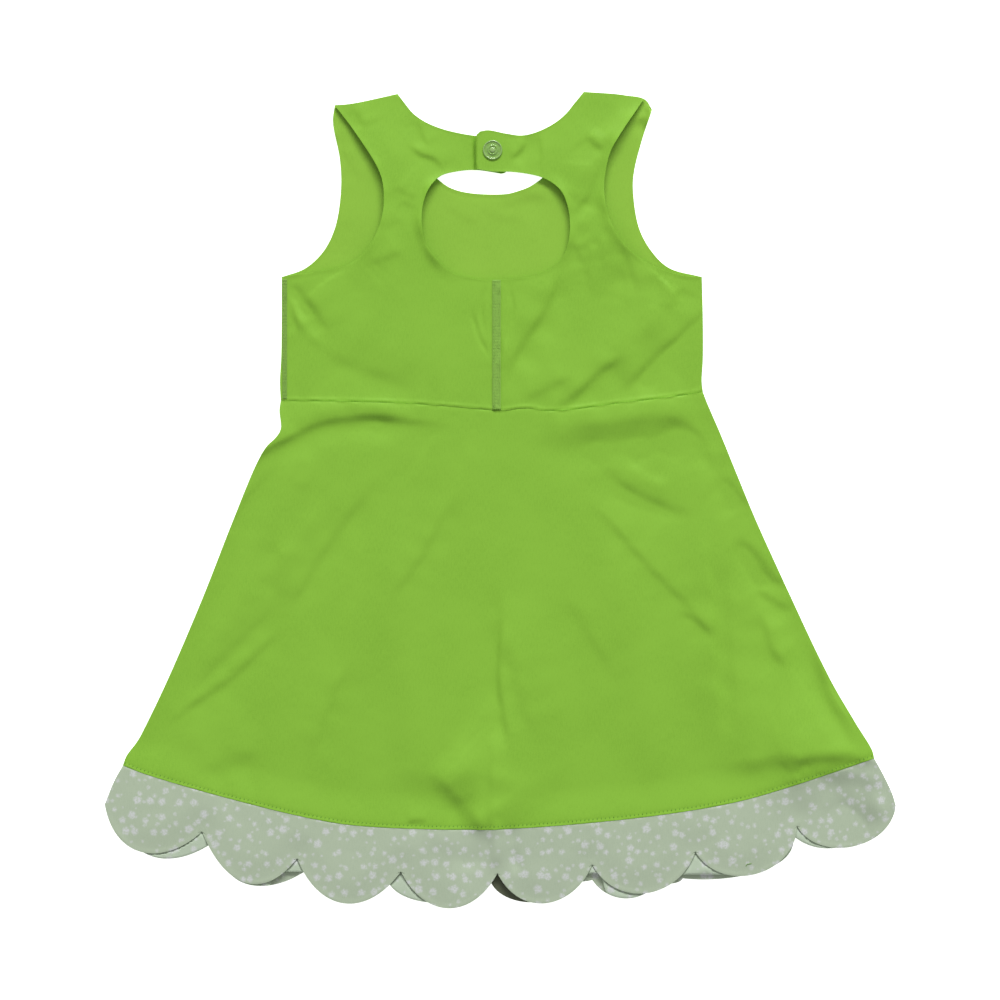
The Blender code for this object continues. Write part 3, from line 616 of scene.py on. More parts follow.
def crease_heights(creases: Sequence[Crease], points: Array, fade: float = 0.3, least: float = 0.0) -> Array:
    """Adds up creases.

    Args:
        creases: The creases.
        points: Places to find the height of.
        fade: Share of a path's length over which each end runs out.
        least: Share of the rise that is left at its ends.

    Returns:
        The heights.
    """
    wander = np.stack([waves.at(points) for waves in WANDER], axis=1)
    total = np.zeros(len(points))
    for number, crease in enumerate(creases):
        near = nearest(through(crease.path, 5.0), points + wander * min(1.0, crease.width / 5.0))
        place = near.along / near.length
        ends = Ramp(0.0, fade).at(place) * Ramp(1.0, -fade).at(place)
        sway = 0.08 if crease.relief is Relief.FOLD else 0.2
        uneven = 1.0 + sway * np.sin(math.tau * near.along / (19.0 + 3.0 * (number % 5)) + number)
        strength = crease.rise * (least + (1.0 - least) * ends) * (uneven if least == 0.0 else 1.0)
        if crease.relief is Relief.RIDGE:
            total += strength * bell(near.distance / crease.width)
        elif crease.relief is Relief.FOLD:
            from_crest = near.side * near.distance / crease.width - FOLD_CREST
            total += strength * bell(from_crest / np.where(from_crest > 0.0, FOLD_FLANK, 1.0))
        else:
            across = near.side * near.distance / crease.width
            total += 1.3 * strength * np.tanh(across) * bell(across / STEP_REACH)
    return total


def rim_heights(rims: Sequence[Rim], distance: Array) -> Array:
    """Adds up the soft rises and grooves beside an edge.

    Args:
        rims: The rises and grooves.
        distance: Each place's distance from the edge.

    Returns:
        The heights.
    """
    total = np.zeros(len(distance))
    for rim in rims:
        total += rim.rise * bell((distance - rim.inset) / rim.width)
    return total


@dataclass(frozen=True)
class Drape:
    """How high the cloth of the back lies, with its folds, its seams and its rolled edges."""
    bed: float = 1.5
    hem_bed: float = 3.0
    hem_rise_run: float = 26.0
    skirt_body: float = 1.3
    lowest: float = -0.14
    low_blend: float = 0.09
    low_shift: float = 0.05
    highest: float = 3.9
    high_blend: float = 0.6
    fold_fade: float = 0.22
    fold_least: float = 0.25
    sharpness: float = 1.5
    centre_x: float = -2.8
    snap: Spot = Spot(-5.2, 244.4)
    neck_lift: float = 0.5
    band_sag: float = 0.8
    tab_lift: float = 3.0
    underarm: Ramp = Ramp(170.0, -20.0)
    shoulders: Ramp = Ramp(282.0, -44.0)
    sides: Ramp = Ramp(5.0, 24.0)
    wavy_sides: Ramp = Ramp(0.0, 20.0)
    snap_press: Ramp = Ramp(13.0, 14.0)
    snap_calm: Ramp = Ramp(6.0, 8.0)
    strip_calm: Ramp = Ramp(2.6, 2.6)
    strip_bottom: Ramp = Ramp(58.0, 5.0)
    strip_top: Ramp = Ramp(160.0, -5.0)
    band_bottom: Ramp = Ramp(224.0, 5.0)
    band_ends: Ramp = Ramp(30.0, -8.0)
    tab_run_out: Ramp = Ramp(4.0, 26.0)
    tab_bottom: Ramp = Ramp(200.0, 10.0)

    def side_distance(self, points: Array) -> Array:
        """Measures how far in from the side seams places lie.

        Args:
            points: Places on the dress.

        Returns:
            Each one's distance along X from the nearer seam.
        """
        tables = (LEFT_SIDE_BODICE + SKIRT_LEFT[1:] + BAND_END_LEFT[1:],
                  RIGHT_SIDE_BODICE + SKIRT_RIGHT[1:] + BAND_END_RIGHT[1:])
        sides = [sorted(table, key=lambda spot: spot.y) for table in tables]
        left, right = [np.interp(points[:, 1], [s.y for s in side], [s.x for s in side]) for side in sides]
        return np.minimum(points[:, 0] - left, right - points[:, 0])

    def resting(self, points: Array) -> Array:
        """Finds the height that the back's underside can't go below.

        Args:
            points: Places on the dress.

        Returns:
            Heights above the surface that the dress lies on.
        """
        seam_y = np.interp(points[:, 0], [s.x for s in HEM_SEAM], [s.y for s in HEM_SEAM])
        share = 1.0 - smoothstep((points[:, 1] - seam_y) / self.hem_rise_run)
        return self.bed + (self.hem_bed - self.bed) * share

    def underside(self, points: Array, creases: Sequence[Crease]) -> Array:
        """Finds the height of the back's underside.

        Args:
            points: Places on the dress.
            creases: The smaller creases, besides the large folds.

        Returns:
            Heights above the surface that the dress lies on.
        """
        x, y = points[:, 0], points[:, 1]
        from_side = self.side_distance(points)
        lift = self.skirt_body + crease_heights(LARGE_FOLDS, points, self.fold_fade, self.fold_least)
        lift *= 1.0 - self.underarm.at(y) * (1.0 - self.sides.at(from_side))
        lift *= 0.5 + 0.5 * self.shoulders.at(y)
        lift = soft_positive(lift, self.low_blend) - self.low_shift
        lift = self.highest - soft_positive(self.highest - lift, self.high_blend)
        from_snap = np.hypot(x - self.snap.x, y - self.snap.y)
        flat = 1.0 - self.snap_press.at(from_snap)
        lift = lift * (1.0 - flat) + self.neck_lift * flat
        from_strip = self.strip_calm.at(np.abs(x - self.centre_x))
        calm = self.snap_calm.at(from_snap)
        calm *= 1.0 - self.strip_bottom.at(y) * self.strip_top.at(y) * (1.0 - from_strip)
        lift += self.sharpness * crease_heights(creases, points) * calm
        lift += BROAD_WAVES.at(points) * self.wavy_sides.at(from_side)
        lift += FINE_WAVES.at(points)
        in_band = self.band_bottom.at(y) * self.band_ends.at(np.abs(x))
        return self.resting(points) + np.maximum(lift, self.lowest - self.band_sag * in_band)

    def under_wall(self, over: Array, wall: float, points: Array) -> Array:
        """Gives the underside of a wall, which stays off the cloth that it rests on."""
        return np.maximum(over - wall, self.resting(points) - 0.2)

    def tab(self, points: Array) -> Array:
        """Gives how far the right back climbs over the under end of the neck band."""
        run_out = 1.0 - self.tab_run_out.at(points[:, 0])
        return self.tab_lift * run_out * self.tab_bottom.at(points[:, 1])


FREE_EDGE = (Rim(0.1, 0.0, 1.0), Rim(-0.07, 3.0, 0.6))
SOFT_EDGE = (Rim(0.1, 0.0, 1.0),)
WAIST_PUFF = (Rim(0.27, 1.5, 1.0),)
WAIST_DIP = (Rim(-0.12, 0.0, 1.6),)
STRIP_EDGE = (Rim(-0.1, 3.4, 1.2),)
HEM_LAP = (Rim(0.08, 0.8, 0.9), Rim(-0.12, 2.4, 0.8))
BAND_TOP = (Rim(-0.05, 0.0, 1.2),)
SCALLOP_ROLL = (Rim(0.07, 1.6, 1.3), Rim(-0.05, 3.4, 0.8))


class Part(NamedTuple):
    """A stretch of edge with its rims, and the puckers that run along it."""
    run: Run
    rims: Sequence[Rim]
    puckers: Waves | None = None
    reach: float = 5.0


def edge_heights(parts: Sequence[Part], points: Array) -> Array:
    """Adds up what the edges and seams of a piece do to its height.

    Args:
        parts: The edges and seams.
        points: Places to find the height of.

    Returns:
        The heights.
    """
    total = np.zeros(len(points))
    for part in parts:
        near = nearest(part.run, points)
        uneven = np.sin(near.along / 5.3 + 0.4 * len(part.run)) * np.sin(near.along / 3.1)
        total += rim_heights(part.rims, near.distance) * (1.0 + 0.4 * uneven)
        if part.puckers:
            total += part.puckers.beside(near, part.reach)
    return total


def add_node(tree: bpy.types.NodeTree, kind: str, feeds: dict[str | int, object],
             **settings: object) -> bpy.types.Node:
    """Adds a node to a tree.

    Args:
        tree: The tree.
        kind: The node's type.
        feeds: What each input gets: another node's output, or a value.
        settings: The node's own options.

    Returns:
        The node.
    """
    node = tree.nodes.new(kind)
    for option, value in settings.items():
        setattr(node, option, value)
    for socket, value in feeds.items():
        if isinstance(value, bpy.types.NodeSocket):
            tree.links.new(value, node.inputs[socket])
        else:
            node.inputs[socket].default_value = value
    return node


def link(name: str, data: bpy.types.ID) -> bpy.types.Object:
    """Makes an object, and puts it in the scene.

    Args:
        name: The object's name.
        data: Its mesh, light or camera.

    Returns:
        The object.
    """
    holder = bpy.data.objects.new(name, data)
    bpy.context.scene.collection.objects.link(holder)
    return holder


class Shader:
    """A material's node tree, with a short way of adding nodes to it."""

    def __init__(self, name: str, surface: dict[str, object]) -> None:
        """Starts a material.

        Args:
            name: The material's name.
            surface: Constant values of its surface's sockets.
        """
        self.material = bpy.data.materials.new(name)
        self.material.use_nodes = True
        self.tree = self.material.node_tree
        self.surface = self.tree.nodes["Principled BSDF"]
        for socket, value in surface.items():
            self.surface.inputs[socket].default_value = value

    def add(self, kind: str, feeds: dict[str | int, object], **settings: object) -> bpy.types.Node:
        """Adds a shader node, whose type is given without the words that they all start with."""
        return add_node(self.tree, "ShaderNode" + kind, feeds, **settings)

    def math(self, operation: str, *values: object) -> bpy.types.NodeSocket:
        """Gives the result of a sum on numbers."""
        return self.add("Math", dict(enumerate(values)), operation=operation).outputs[0]

    def mix(self, share: object, low: object, high: object) -> bpy.types.NodeSocket:
        """Gives a colour between two others."""
        return self.add("Mix", {0: share, 6: low, 7: high}, data_type="RGBA").outputs[2]

    def noise(self, where: object, scale: float, detail: float = 2.0) -> bpy.types.NodeSocket:
        """Gives soft noise with its features a scale of them to a metre."""
        return self.add("TexNoise", {"Vector": where, "Scale": scale, "Detail": detail}).outputs[0]

    def span(self, value: object, low: float, high: float,
             to_low: float, to_high: float) -> bpy.types.NodeSocket:
        """Maps a range of numbers smoothly onto another."""
        feeds = {0: value, 1: low, 2: high, 3: to_low, 4: to_high}
        return self.add("MapRange", feeds, interpolation_type="SMOOTHSTEP").outputs[0]

    def split(self, where: object) -> bpy.types.bpy_prop_collection:
        """Gives the three parts of coordinates."""
        return self.add("SeparateXYZ", {0: where}).outputs

    def reach(self, x: object, y: object) -> bpy.types.NodeSocket:
        """Gives the distance that two parts of an offset make."""
        squares = [self.math("POWER", part, 2.0) for part in (x, y)]
        return self.math("SQRT", self.math("ADD", *squares))

    def stretched(self, where: object, x: float, y: float, z: float = 1.0) -> bpy.types.NodeSocket:
        """Gives coordinates stretched along the axes."""
        return self.add("Mapping", {"Vector": where, "Scale": (x, y, z)}).outputs[0]

    def in_object(self) -> bpy.types.NodeSocket:
        """Gives the object's own coordinates."""
        return self.add("TexCoord", {}).outputs["Object"]

    def finish(self, colour: object, roughness: object, height: object,
               distance: float, strength: float) -> bpy.types.Material:
        """Feeds the surface its colour, roughness and relief.

        Args:
            colour: The colour.
            roughness: The roughness.
            height: The relief's height, from 0 to 1.
            distance: The height that 1 stands for.
            strength: How strongly the relief shows.

        Returns:
            The material.
        """
        bump = self.add("Bump", {"Height": height, "Distance": distance, "Strength": strength})
        for value, socket in ((colour, "Base Color"), (roughness, "Roughness"), (bump.outputs[0], "Normal")):
            self.tree.links.new(value, self.surface.inputs[socket])
        return self.material


@dataclass(frozen=True)
class KnitFinish:
    """Fine stretch jersey: lengthwise wales, crossed by courses of loops."""
    name: str
    colour: Colour
    deep: Colour
    wale: float = 0.62 * MM
    course: float = 0.55 * MM
    sheen: float = 0.12
    relief_depth: float = 0.10 * MM

    def relief(self, shader: Shader, where: bpy.types.NodeSocket) -> bpy.types.NodeSocket:
        """Makes the knit's relief.

        Args:
            shader: The material that gets the nodes.
            where: The cloth's own coordinates.

        Returns:
            Its height, from 0 to 1.
        """
        parts = shader.split(where)
        wales = shader.math("DIVIDE", parts[0], self.wale)
        courses = shader.math("DIVIDE", parts[1], self.course)
        ribs = shader.math("PINGPONG", wales, 0.5)
        loops = shader.math("SINE", shader.math("MULTIPLY", shader.math("ADD", courses, ribs), math.tau))
        return shader.math("ADD", ribs, shader.math("MULTIPLY_ADD", loops, 0.12, 0.25))

    def cloth_colour(self, shader: Shader, where: bpy.types.NodeSocket) -> bpy.types.NodeSocket:
        """Makes the dyed colour, uneven in broad patches, streaks and fine grain.

        Args:
            shader: The material that gets the nodes.
            where: The cloth's own coordinates.

        Returns:
            The colour.
        """
        patches = shader.span(shader.noise(where, 26.0), 0.3, 0.7, 0.0, 0.22)
        streaks = shader.noise(shader.stretched(where, 1250.0, 240.0), 1.0)
        grain = shader.noise(where, 1050.0, 3.0)
        share = shader.math("ADD", patches, shader.math("MULTIPLY", streaks, 0.9))
        share = shader.math("ADD", share, shader.math("MULTIPLY_ADD", grain, 0.8, -0.7))
        return shader.mix(shader.span(share, 0.0, 1.0, 0.0, 1.0), self.colour, self.deep)

    def start(self) -> tuple[Shader, bpy.types.NodeSocket]:
        """Starts the material.

        Returns:
            Its tree, and the cloth's own coordinates in metres.
        """
        shader = Shader(self.name, {
            "Sheen Weight": self.sheen, "Sheen Roughness": 0.45, "Sheen Tint": self.colour,
            "Specular IOR Level": 0.28})
        flat = shader.add("UVMap", {}, uv_map=CLOTH_MAP).outputs[0]
        return shader, shader.stretched(flat, CLOTH_MAP_SPAN * MM, CLOTH_MAP_SPAN * MM)

    def make(self) -> bpy.types.Material:
        """Makes the material.

        Returns:
            The material.
        """
        shader, where = self.start()
        relief = self.relief(shader, where)
        colour = self.cloth_colour(shader, where)
        rough = shader.span(shader.noise(where, 140.0), 0.3, 0.7, 0.56, 0.68)
        return shader.finish(colour, rough, relief, self.relief_depth, 0.45)


@dataclass(frozen=True)
class PrintFinish(KnitFinish):
    """Jersey printed with scattered blossoms and dots."""
    ink: Colour = (0.61, 0.63, 0.63, 1.0)
    blossom_spacing: float = 10.4 * MM
    blossom_radius: float = 2.2 * MM
    dot_spacing: float = 8.8 * MM
    dot_radius: float = 1.2 * MM
    scatter: float = 0.82
    soft_edge: float = 0.5
    lobe: float = 0.1

    def scattered(self, shader: Shader, where: bpy.types.NodeSocket, spacing: float,
                  radius: float) -> bpy.types.NodeSocket:
        """Scatters small motifs with five soft lobes, one to each uneven cell.

        Args:
            shader: The material that gets the nodes.
            where: The cloth's own coordinates.
            spacing: Mean distance between motifs.
            radius: A motif's mean radius.

        Returns:
            1 inside a motif and 0 outside.
        """
        feeds = {"Vector": where, "Scale": 1.0 / spacing, "Randomness": self.scatter}
        cells = shader.add("TexVoronoi", feeds, voronoi_dimensions="2D")
        chance = shader.add("SeparateColor", {0: cells.outputs["Color"]})
        away = shader.add("VectorMath", {0: where, 1: cells.outputs["Position"]}, operation="SUBTRACT")
        parts = shader.split(away.outputs[0])
        turn = shader.math("ARCTAN2", parts[1], parts[0])
        start = shader.math("MULTIPLY", chance.outputs[0], math.tau)
        wave = shader.math("COSINE", shader.math("MULTIPLY_ADD", turn, 5.0, start))
        tilt = shader.math("COSINE", shader.math("ADD", turn, shader.math("MULTIPLY", start, 2.0)))
        reach = shader.math("MULTIPLY_ADD", wave, self.lobe, 1.0)
        reach = shader.math("MULTIPLY_ADD", tilt, 0.8 * self.lobe, reach)
        size = shader.math("MULTIPLY_ADD", chance.outputs[1], 0.75 * radius, 0.5 * radius)
        distance = shader.reach(parts[0], parts[1])
        spare = shader.math("SUBTRACT", shader.math("MULTIPLY", reach, size), distance)
        return shader.span(spare, -self.soft_edge * radius, self.soft_edge * radius, 0.0, 1.0)

    def make(self) -> bpy.types.Material:
        """Makes the material.

        Returns:
            The material.
        """
        shader, where = self.start()
        ragged = shader.add("TexNoise", {"Vector": where, "Scale": 420.0}, noise_dimensions="2D")
        push = shader.add("VectorMath", {0: ragged.outputs["Color"], 1: (0.0015,) * 3, 2: where},
                          operation="MULTIPLY_ADD").outputs[0]
        blossoms = self.scattered(shader, push, self.blossom_spacing, self.blossom_radius)
        shift = shader.add("VectorMath", {0: push, 1: (0.31, 0.17, 0.0)}, operation="ADD").outputs[0]
        dots = self.scattered(shader, shift, self.dot_spacing, self.dot_radius)
        printed = shader.math("MAXIMUM", shader.math("MULTIPLY", blossoms, 0.9),
                              shader.math("MULTIPLY", dots, 0.62))
        wear = shader.span(shader.noise(where, 760.0), 0.34, 0.58, 0.4, 1.0)
        worn = shader.math("MULTIPLY", printed, wear)
        colour = shader.mix(worn, self.cloth_colour(shader, where), self.ink)
        rough = shader.math("MULTIPLY_ADD", printed, -0.08, 0.66)
        relief = shader.math("MULTIPLY_ADD", printed, 0.2, self.relief(shader, where))
        return shader.finish(colour, rough, relief, self.relief_depth, 0.4)


@dataclass(frozen=True)
class ThreadFinish:
    """Twisted sewing thread."""
    name: str
    colour: Colour
    deep: Colour
    twist: float = 0.45 * MM

    def make(self) -> bpy.types.Material:
        """Makes the material.

        Returns:
            The material.
        """
        shader = Shader(self.name, {"Sheen Weight": 0.1, "Specular IOR Level": 0.3})
        where = shader.in_object()
        parts = shader.split(where)
        slant = shader.math("ADD", shader.math("ADD", parts[0], parts[1]), parts[2])
        strands = shader.math("SINE", shader.math("MULTIPLY", slant, math.tau / self.twist))
        fuzz = shader.noise(where, 2600.0)
        share = shader.math("MULTIPLY_ADD", strands, 0.2, shader.math("MULTIPLY", fuzz, 0.9))
        colour = shader.mix(shader.span(share, 0.1, 0.9, 0.0, 1.0), self.colour, self.deep)
        rough = shader.span(fuzz, 0.3, 0.7, 0.6, 0.78)
        return shader.finish(colour, rough, shader.math("ADD", strands, fuzz), 0.05 * MM, 0.5)


@dataclass(frozen=True)
class ClearPlasticFinish:
    """Glossy, see-through green plastic of the ring snap, palest at its thick rim and middle boss, which is
    painted highlight, and paler in random clouds.
    """
    name: str = "clear_green_plastic"
    colour: Colour = (0.25, 0.49, 0.08, 1.0)
    haze_and_highlight: Colour = (0.48, 0.68, 0.30, 1.0)
    middle: Spot = Spot(-5.2, 244.4)
    rim_radius: float = 6.3 * MM

    def make(self) -> bpy.types.Material:
        """Makes the material.

        Returns:
            The material.
        """
        shader = Shader(self.name, {
            "IOR": 1.49, "Transmission Weight": 0.25, "Coat Weight": 0.4, "Coat Roughness": 0.08,
            "Specular IOR Level": 0.6})
        where = shader.in_object()
        parts = shader.split(where)
        across = shader.math("SUBTRACT", parts[0], self.middle.x * MM)
        up = shader.math("SUBTRACT", parts[1], self.middle.y * MM)
        radius = shader.reach(across, up)
        from_rim = shader.math("ABSOLUTE", shader.math("SUBTRACT", radius, self.rim_radius))
        # Paler at the rim and at the middle boss: painted highlights
        thick = shader.math("MAXIMUM", shader.span(from_rim, 0.2 * MM, 0.7 * MM, 0.4, 0.0),
                            shader.span(radius, 1.4 * MM, 2.6 * MM, 0.55, 0.0))
        cloud = shader.span(shader.noise(where, 500.0), 0.35, 0.65, 0.0, 0.25)
        scratches = shader.noise(shader.stretched(where, 2400.0, 300.0, 300.0), 1.0, 3.0)
        colour = shader.mix(shader.math("MAXIMUM", thick, cloud), self.colour, self.haze_and_highlight)
        rough = shader.span(scratches, 0.45, 0.75, 0.12, 0.26)
        return shader.finish(colour, rough, scratches, 0.01 * MM, 0.3)


@dataclass(frozen=True)
class SurfaceFinish:
    """The plain pale surface that the dress lies on."""
    name: str = "pale_surface"
    pale: Colour = (0.955, 0.955, 0.955, 1.0)
    paler: Colour = (0.97, 0.97, 0.97, 1.0)

    def make(self) -> bpy.types.Material:
        """Makes the material.

        Returns:
            The material.
        """
        shader = Shader(self.name, {
            "Specular IOR Level": 0.1, "Emission Color": WHITE, "Emission Strength": 0.8})
        faint = shader.span(shader.noise(shader.in_object(), 30.0), 0.3, 0.7, 0.0, 1.0)
        colour = shader.mix(faint, self.pale, self.paler)
        return shader.finish(colour, shader.span(faint, 0.0, 1.0, 0.8, 0.9), faint, 0.02 * MM, 0.1)


def attach(piece: bpy.types.Object, slot: str, *nodes: str) -> None:
    """Lets a piece ride with the dress.

    Args:
        piece: The piece.
        slot: Not used.
        nodes: Nodes that it stands for.
    """
    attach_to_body(piece, BODY)
    if nodes:
        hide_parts(*nodes)


@dataclass
class ClothPanel:
    """A cut piece of cloth, made as a thin closed shell whose edges are rolled."""
    name: str
    node: str
    outline: list[Array]
    under: Height
    over: Height
    material: bpy.types.Material
    step: float = 2.4
    rings: tuple[float, ...] = (0.3, 0.8)
    roll: float = 0.8
    lip: float = 0.14
    seams: tuple[Run, ...] = ()
    seam_roll: float = 0.12
    # A second material for the upper faces whose middles lie across the span below in X: a dark sheet that
    # paints the shade of a deep hollow there
    inner: bpy.types.Material | None = None
    painted_shade_span: tuple[float, float] = (-12.0, 20.0)

    def ring_points(self) -> Array:
        """Lays rows of points that follow the outline a little way in from it.

        Returns:
            The points.
        """
        line = np.array(self.outline)
        heading = np.roll(line, -1, axis=0) - np.roll(line, 1, axis=0)
        heading /= np.linalg.norm(heading, axis=1)[:, None]
        inward = np.stack([-heading[:, 1], heading[:, 0]], axis=1) * np.sign(twice_area(line))
        rows = np.concatenate([line + inward * inset for inset in self.rings])
        needed = np.repeat(self.rings, len(line))
        keep = inside(self.outline, rows) & (from_outline(self.outline, rows) > 0.93 * needed)
        return rows[keep]

    def grid_points(self) -> Array:
        """Lays staggered points over the piece, clear of the rows beside its edge.

        Returns:
            The points.
        """
        line = np.array(self.outline)
        corner = line.min(axis=0)
        size = line.max(axis=0) - corner
        row_step = self.step * math.sqrt(3.0) / 2.0
        rows, columns = np.mgrid[0:int(size[1] / row_step) + 1, 0:int(size[0] / self.step) + 1]
        x = corner[0] + (columns + 0.5 * (rows % 2)) * self.step
        y = corner[1] + (rows + 0.5) * row_step
        grid = np.stack([x.ravel(), y.ravel()], axis=1)
        grid = grid[inside(self.outline, grid)]
        return grid[from_outline(self.outline, grid) > self.rings[-1] + 0.55 * self.step]

    def flat_net(self) -> tuple[Array, Array]:
        """Covers the piece with triangles.

        Returns:
            The points, and the triangles' corners, anticlockwise.
        """
        points = np.concatenate([np.array(self.outline), self.ring_points(), self.grid_points()])
        border = list(range(len(self.outline)))
        flat, _, faces, _, _, _ = geometry.delaunay_2d_cdt(
            [Vector(point) for point in points], [], [border], 1, 1e-5)
        flat = np.array(flat)
        faces = np.array(faces)
        used = np.unique(faces)
        renumber = np.full(len(flat), -1)
        renumber[used] = np.arange(len(used))
        flat, faces = flat[used], renumber[faces]
        a, b, c = (flat[faces[:, corner]] for corner in range(3))
        turned = (b[:, 0] - a[:, 0]) * (c[:, 1] - a[:, 1]) - (b[:, 1] - a[:, 1]) * (c[:, 0] - a[:, 0]) < 0
        faces[turned] = faces[turned][:, ::-1]
        return flat, faces

    def sides(self, flat: Array) -> tuple[Array, Array]:
        """Raises the shell's two sides, which close towards a rolled edge.

        Args:
            flat: Places of the net's points.

        Returns:
            The points of the upper side and of the underside.
        """
        under, over = self.under(flat), self.over(flat)
        from_edge = from_outline(self.outline, flat)
        roll = np.full(len(flat), self.roll)
        for seam in self.seams:
            roll[nearest(seam, flat).distance < from_edge + 0.06] = self.seam_roll
        t = np.clip(from_edge / roll, 0.0, 1.0)
        half = 0.5 * (over - under) * np.maximum(self.lip, np.sqrt(1.0 - (1.0 - t) ** 2))
        middle = 0.5 * (over + under)
        return np.column_stack([flat, middle + half]), np.column_stack([flat, middle - half])

    def build(self) -> bpy.types.Object:
        """Builds the piece.

        Returns:
            The closed shell, with the cloth's own coordinates as its UV map.
        """
        flat, faces = self.flat_net()
        top, bottom = self.sides(flat)
        count = len(flat)
        edges = {(int(face[i]), int(face[(i + 1) % 3])) for face in faces for i in range(3)}
        wall = [(end, start, start + count, end + count) for start, end in sorted(edges)
                if (end, start) not in edges]
        shell = faces.tolist() + (faces[:, ::-1] + count).tolist() + wall
        mesh = bpy.data.meshes.new(self.name)
        mesh.from_pydata((np.concatenate([top, bottom]) * MM).tolist(), [], shell)
        corners = np.zeros(len(mesh.loops), dtype=np.int64)
        mesh.loops.foreach_get("vertex_index", corners)
        places = np.concatenate([flat, flat]) / CLOTH_MAP_SPAN + 0.5
        mesh.uv_layers.new(name=CLOTH_MAP).data.foreach_set("uv", places[corners].astype(np.float32).ravel())
        mesh.shade_smooth()
        mesh.set_sharp_from_angle(angle=0.6)
        mesh.materials.append(self.material)
        # The upper faces inside that span take the second material, which is painted shade
        if self.inner:
            mesh.materials.append(self.inner)
            shaded_faces = np.zeros(len(mesh.polygons), dtype=np.int32)
            x = flat[faces].mean(axis=1)[:, 0]
            shaded_faces[:len(faces)] = (x > self.painted_shade_span[0]) & (x < self.painted_shade_span[1])
            mesh.polygons.foreach_set("material_index", shaded_faces)
        return link(self.name, mesh)

    def lay(self, rests_on: Sequence[str], with_pieces: Sequence[bpy.types.Object] = ()) -> bpy.types.Object:
        """Args:
            rests_on: Not used.
            with_pieces: Not used.

        Returns:
            The piece.
        """
        piece = self.build()
        line = np.array(self.outline) * MM
        attach(piece, self.node, self.node)
        return piece


@dataclass
class StitchRow:
    """A row of stitches along a path, in millimetres, made by one Geometry Nodes tree."""
    name: str
    path: Array
    thread: bpy.types.Material
    pitch: float
    length: float
    thickness: float
    turn: float = 0.0
    seed: int = 1
    tree: ClassVar[bpy.types.NodeTree | None] = None

    @staticmethod
    def make_tree() -> bpy.types.NodeTree:
        """Makes the tree that every row uses.

        Returns:
            The tree, whose inputs are the row's path, sizes, seed and thread.
        """
        tree = bpy.data.node_groups.new("stitch_row", "GeometryNodeTree")
        tree.is_modifier = True
        sockets = (
            ("Path", "Geometry"), ("Pitch", "Float"), ("Stitch length", "Float"),
            ("Thread thickness", "Float"), ("Turn", "Float"), ("Seed", "Int"), ("Thread", "Material"))
        for name, kind in sockets:
            tree.interface.new_socket(name=name, in_out="INPUT", socket_type="NodeSocket" + kind)
        tree.interface.new_socket(name="Stitches", in_out="OUTPUT", socket_type="NodeSocketGeometry")
        add = partial(add_node, tree)
        given = tree.nodes.new("NodeGroupInput").outputs
        curve = add("GeometryNodeMeshToCurve", {0: given["Path"]})
        evened = add("GeometryNodeResampleCurve", {"Curve": curve.outputs[0], "Length": given["Pitch"]},
                     mode="LENGTH")
        tangent = add("GeometryNodeInputTangent", {})
        aligned = add("FunctionNodeAlignRotationToVector", {"Vector": tangent.outputs[0]}, axis="X")
        jitter = add("FunctionNodeRandomValue", {2: -0.07, 3: 0.07, "Seed": given["Seed"]},
                     data_type="FLOAT")
        angle = add("ShaderNodeMath", {0: given["Turn"], 1: jitter.outputs[1]}, operation="ADD")
        euler = add("ShaderNodeCombineXYZ", {2: angle.outputs[0]})
        spin = add("FunctionNodeEulerToRotation", {0: euler.outputs[0]})
        turned = add("FunctionNodeRotateRotation", {0: aligned.outputs[0], 1: spin.outputs[0]},
                     rotation_space="LOCAL")
        sizes = add("FunctionNodeRandomValue",
                    {0: (0.88, 0.85, 0.85), 1: (1.1, 1.12, 1.15), "Seed": given["Seed"]},
                    data_type="FLOAT_VECTOR")
        long = add("ShaderNodeMath", {0: given["Stitch length"], 1: 0.5}, operation="MULTIPLY")
        thick = add("ShaderNodeMath", {0: given["Thread thickness"], 1: 0.5}, operation="MULTIPLY")
        scale = add("ShaderNodeCombineXYZ", {0: long.outputs[0], 1: thick.outputs[0], 2: thick.outputs[0]})
        bead = add("GeometryNodeMeshUVSphere", {"Segments": 8, "Rings": 5, "Radius": 1.0})
        stitch = add("GeometryNodeTransform", {"Geometry": bead.outputs[0], "Scale": scale.outputs[0]})
        smooth = add("GeometryNodeSetShadeSmooth", {"Geometry": stitch.outputs[0], "Shade Smooth": True})
        placed = add("GeometryNodeInstanceOnPoints", {
            "Points": evened.outputs[0], "Instance": smooth.outputs[0], "Rotation": turned.outputs[0],
            "Scale": sizes.outputs[0]})
        real = add("GeometryNodeRealizeInstances", {"Geometry": placed.outputs[0]})
        dyed = add("GeometryNodeSetMaterial", {"Geometry": real.outputs[0], "Material": given["Thread"]})
        add("NodeGroupOutput", {0: dyed.outputs[0]})
        return tree

    def sew(self) -> bpy.types.Mesh:
        """Runs the tree along the path.

        Returns:
            The row's plain mesh.
        """
        if StitchRow.tree is None:
            StitchRow.tree = StitchRow.make_tree()
        values = {
            "Pitch": self.pitch * MM, "Stitch length": self.length * MM,
            "Thread thickness": self.thickness * MM, "Turn": self.turn, "Seed": self.seed,
            "Thread": self.thread}
        line = bpy.data.meshes.new(self.name + "_path")
        line.from_pydata((self.path * MM).tolist(), [(i, i + 1) for i in range(len(self.path) - 1)], [])
        host = link(self.name + "_path", line)
        sewing = host.modifiers.new("Stitches", "NODES")
        sewing.node_group = StitchRow.tree
        for item in StitchRow.tree.interface.items_tree:
            if item.in_out == "INPUT" and item.name in values:
                sewing[item.identifier] = values[item.name]
        evaluated = host.evaluated_get(bpy.context.evaluated_depsgraph_get())
        mesh = bpy.data.meshes.new_from_object(evaluated)
        host.modifiers.remove(sewing)
        bpy.data.objects.remove(host)
        return mesh


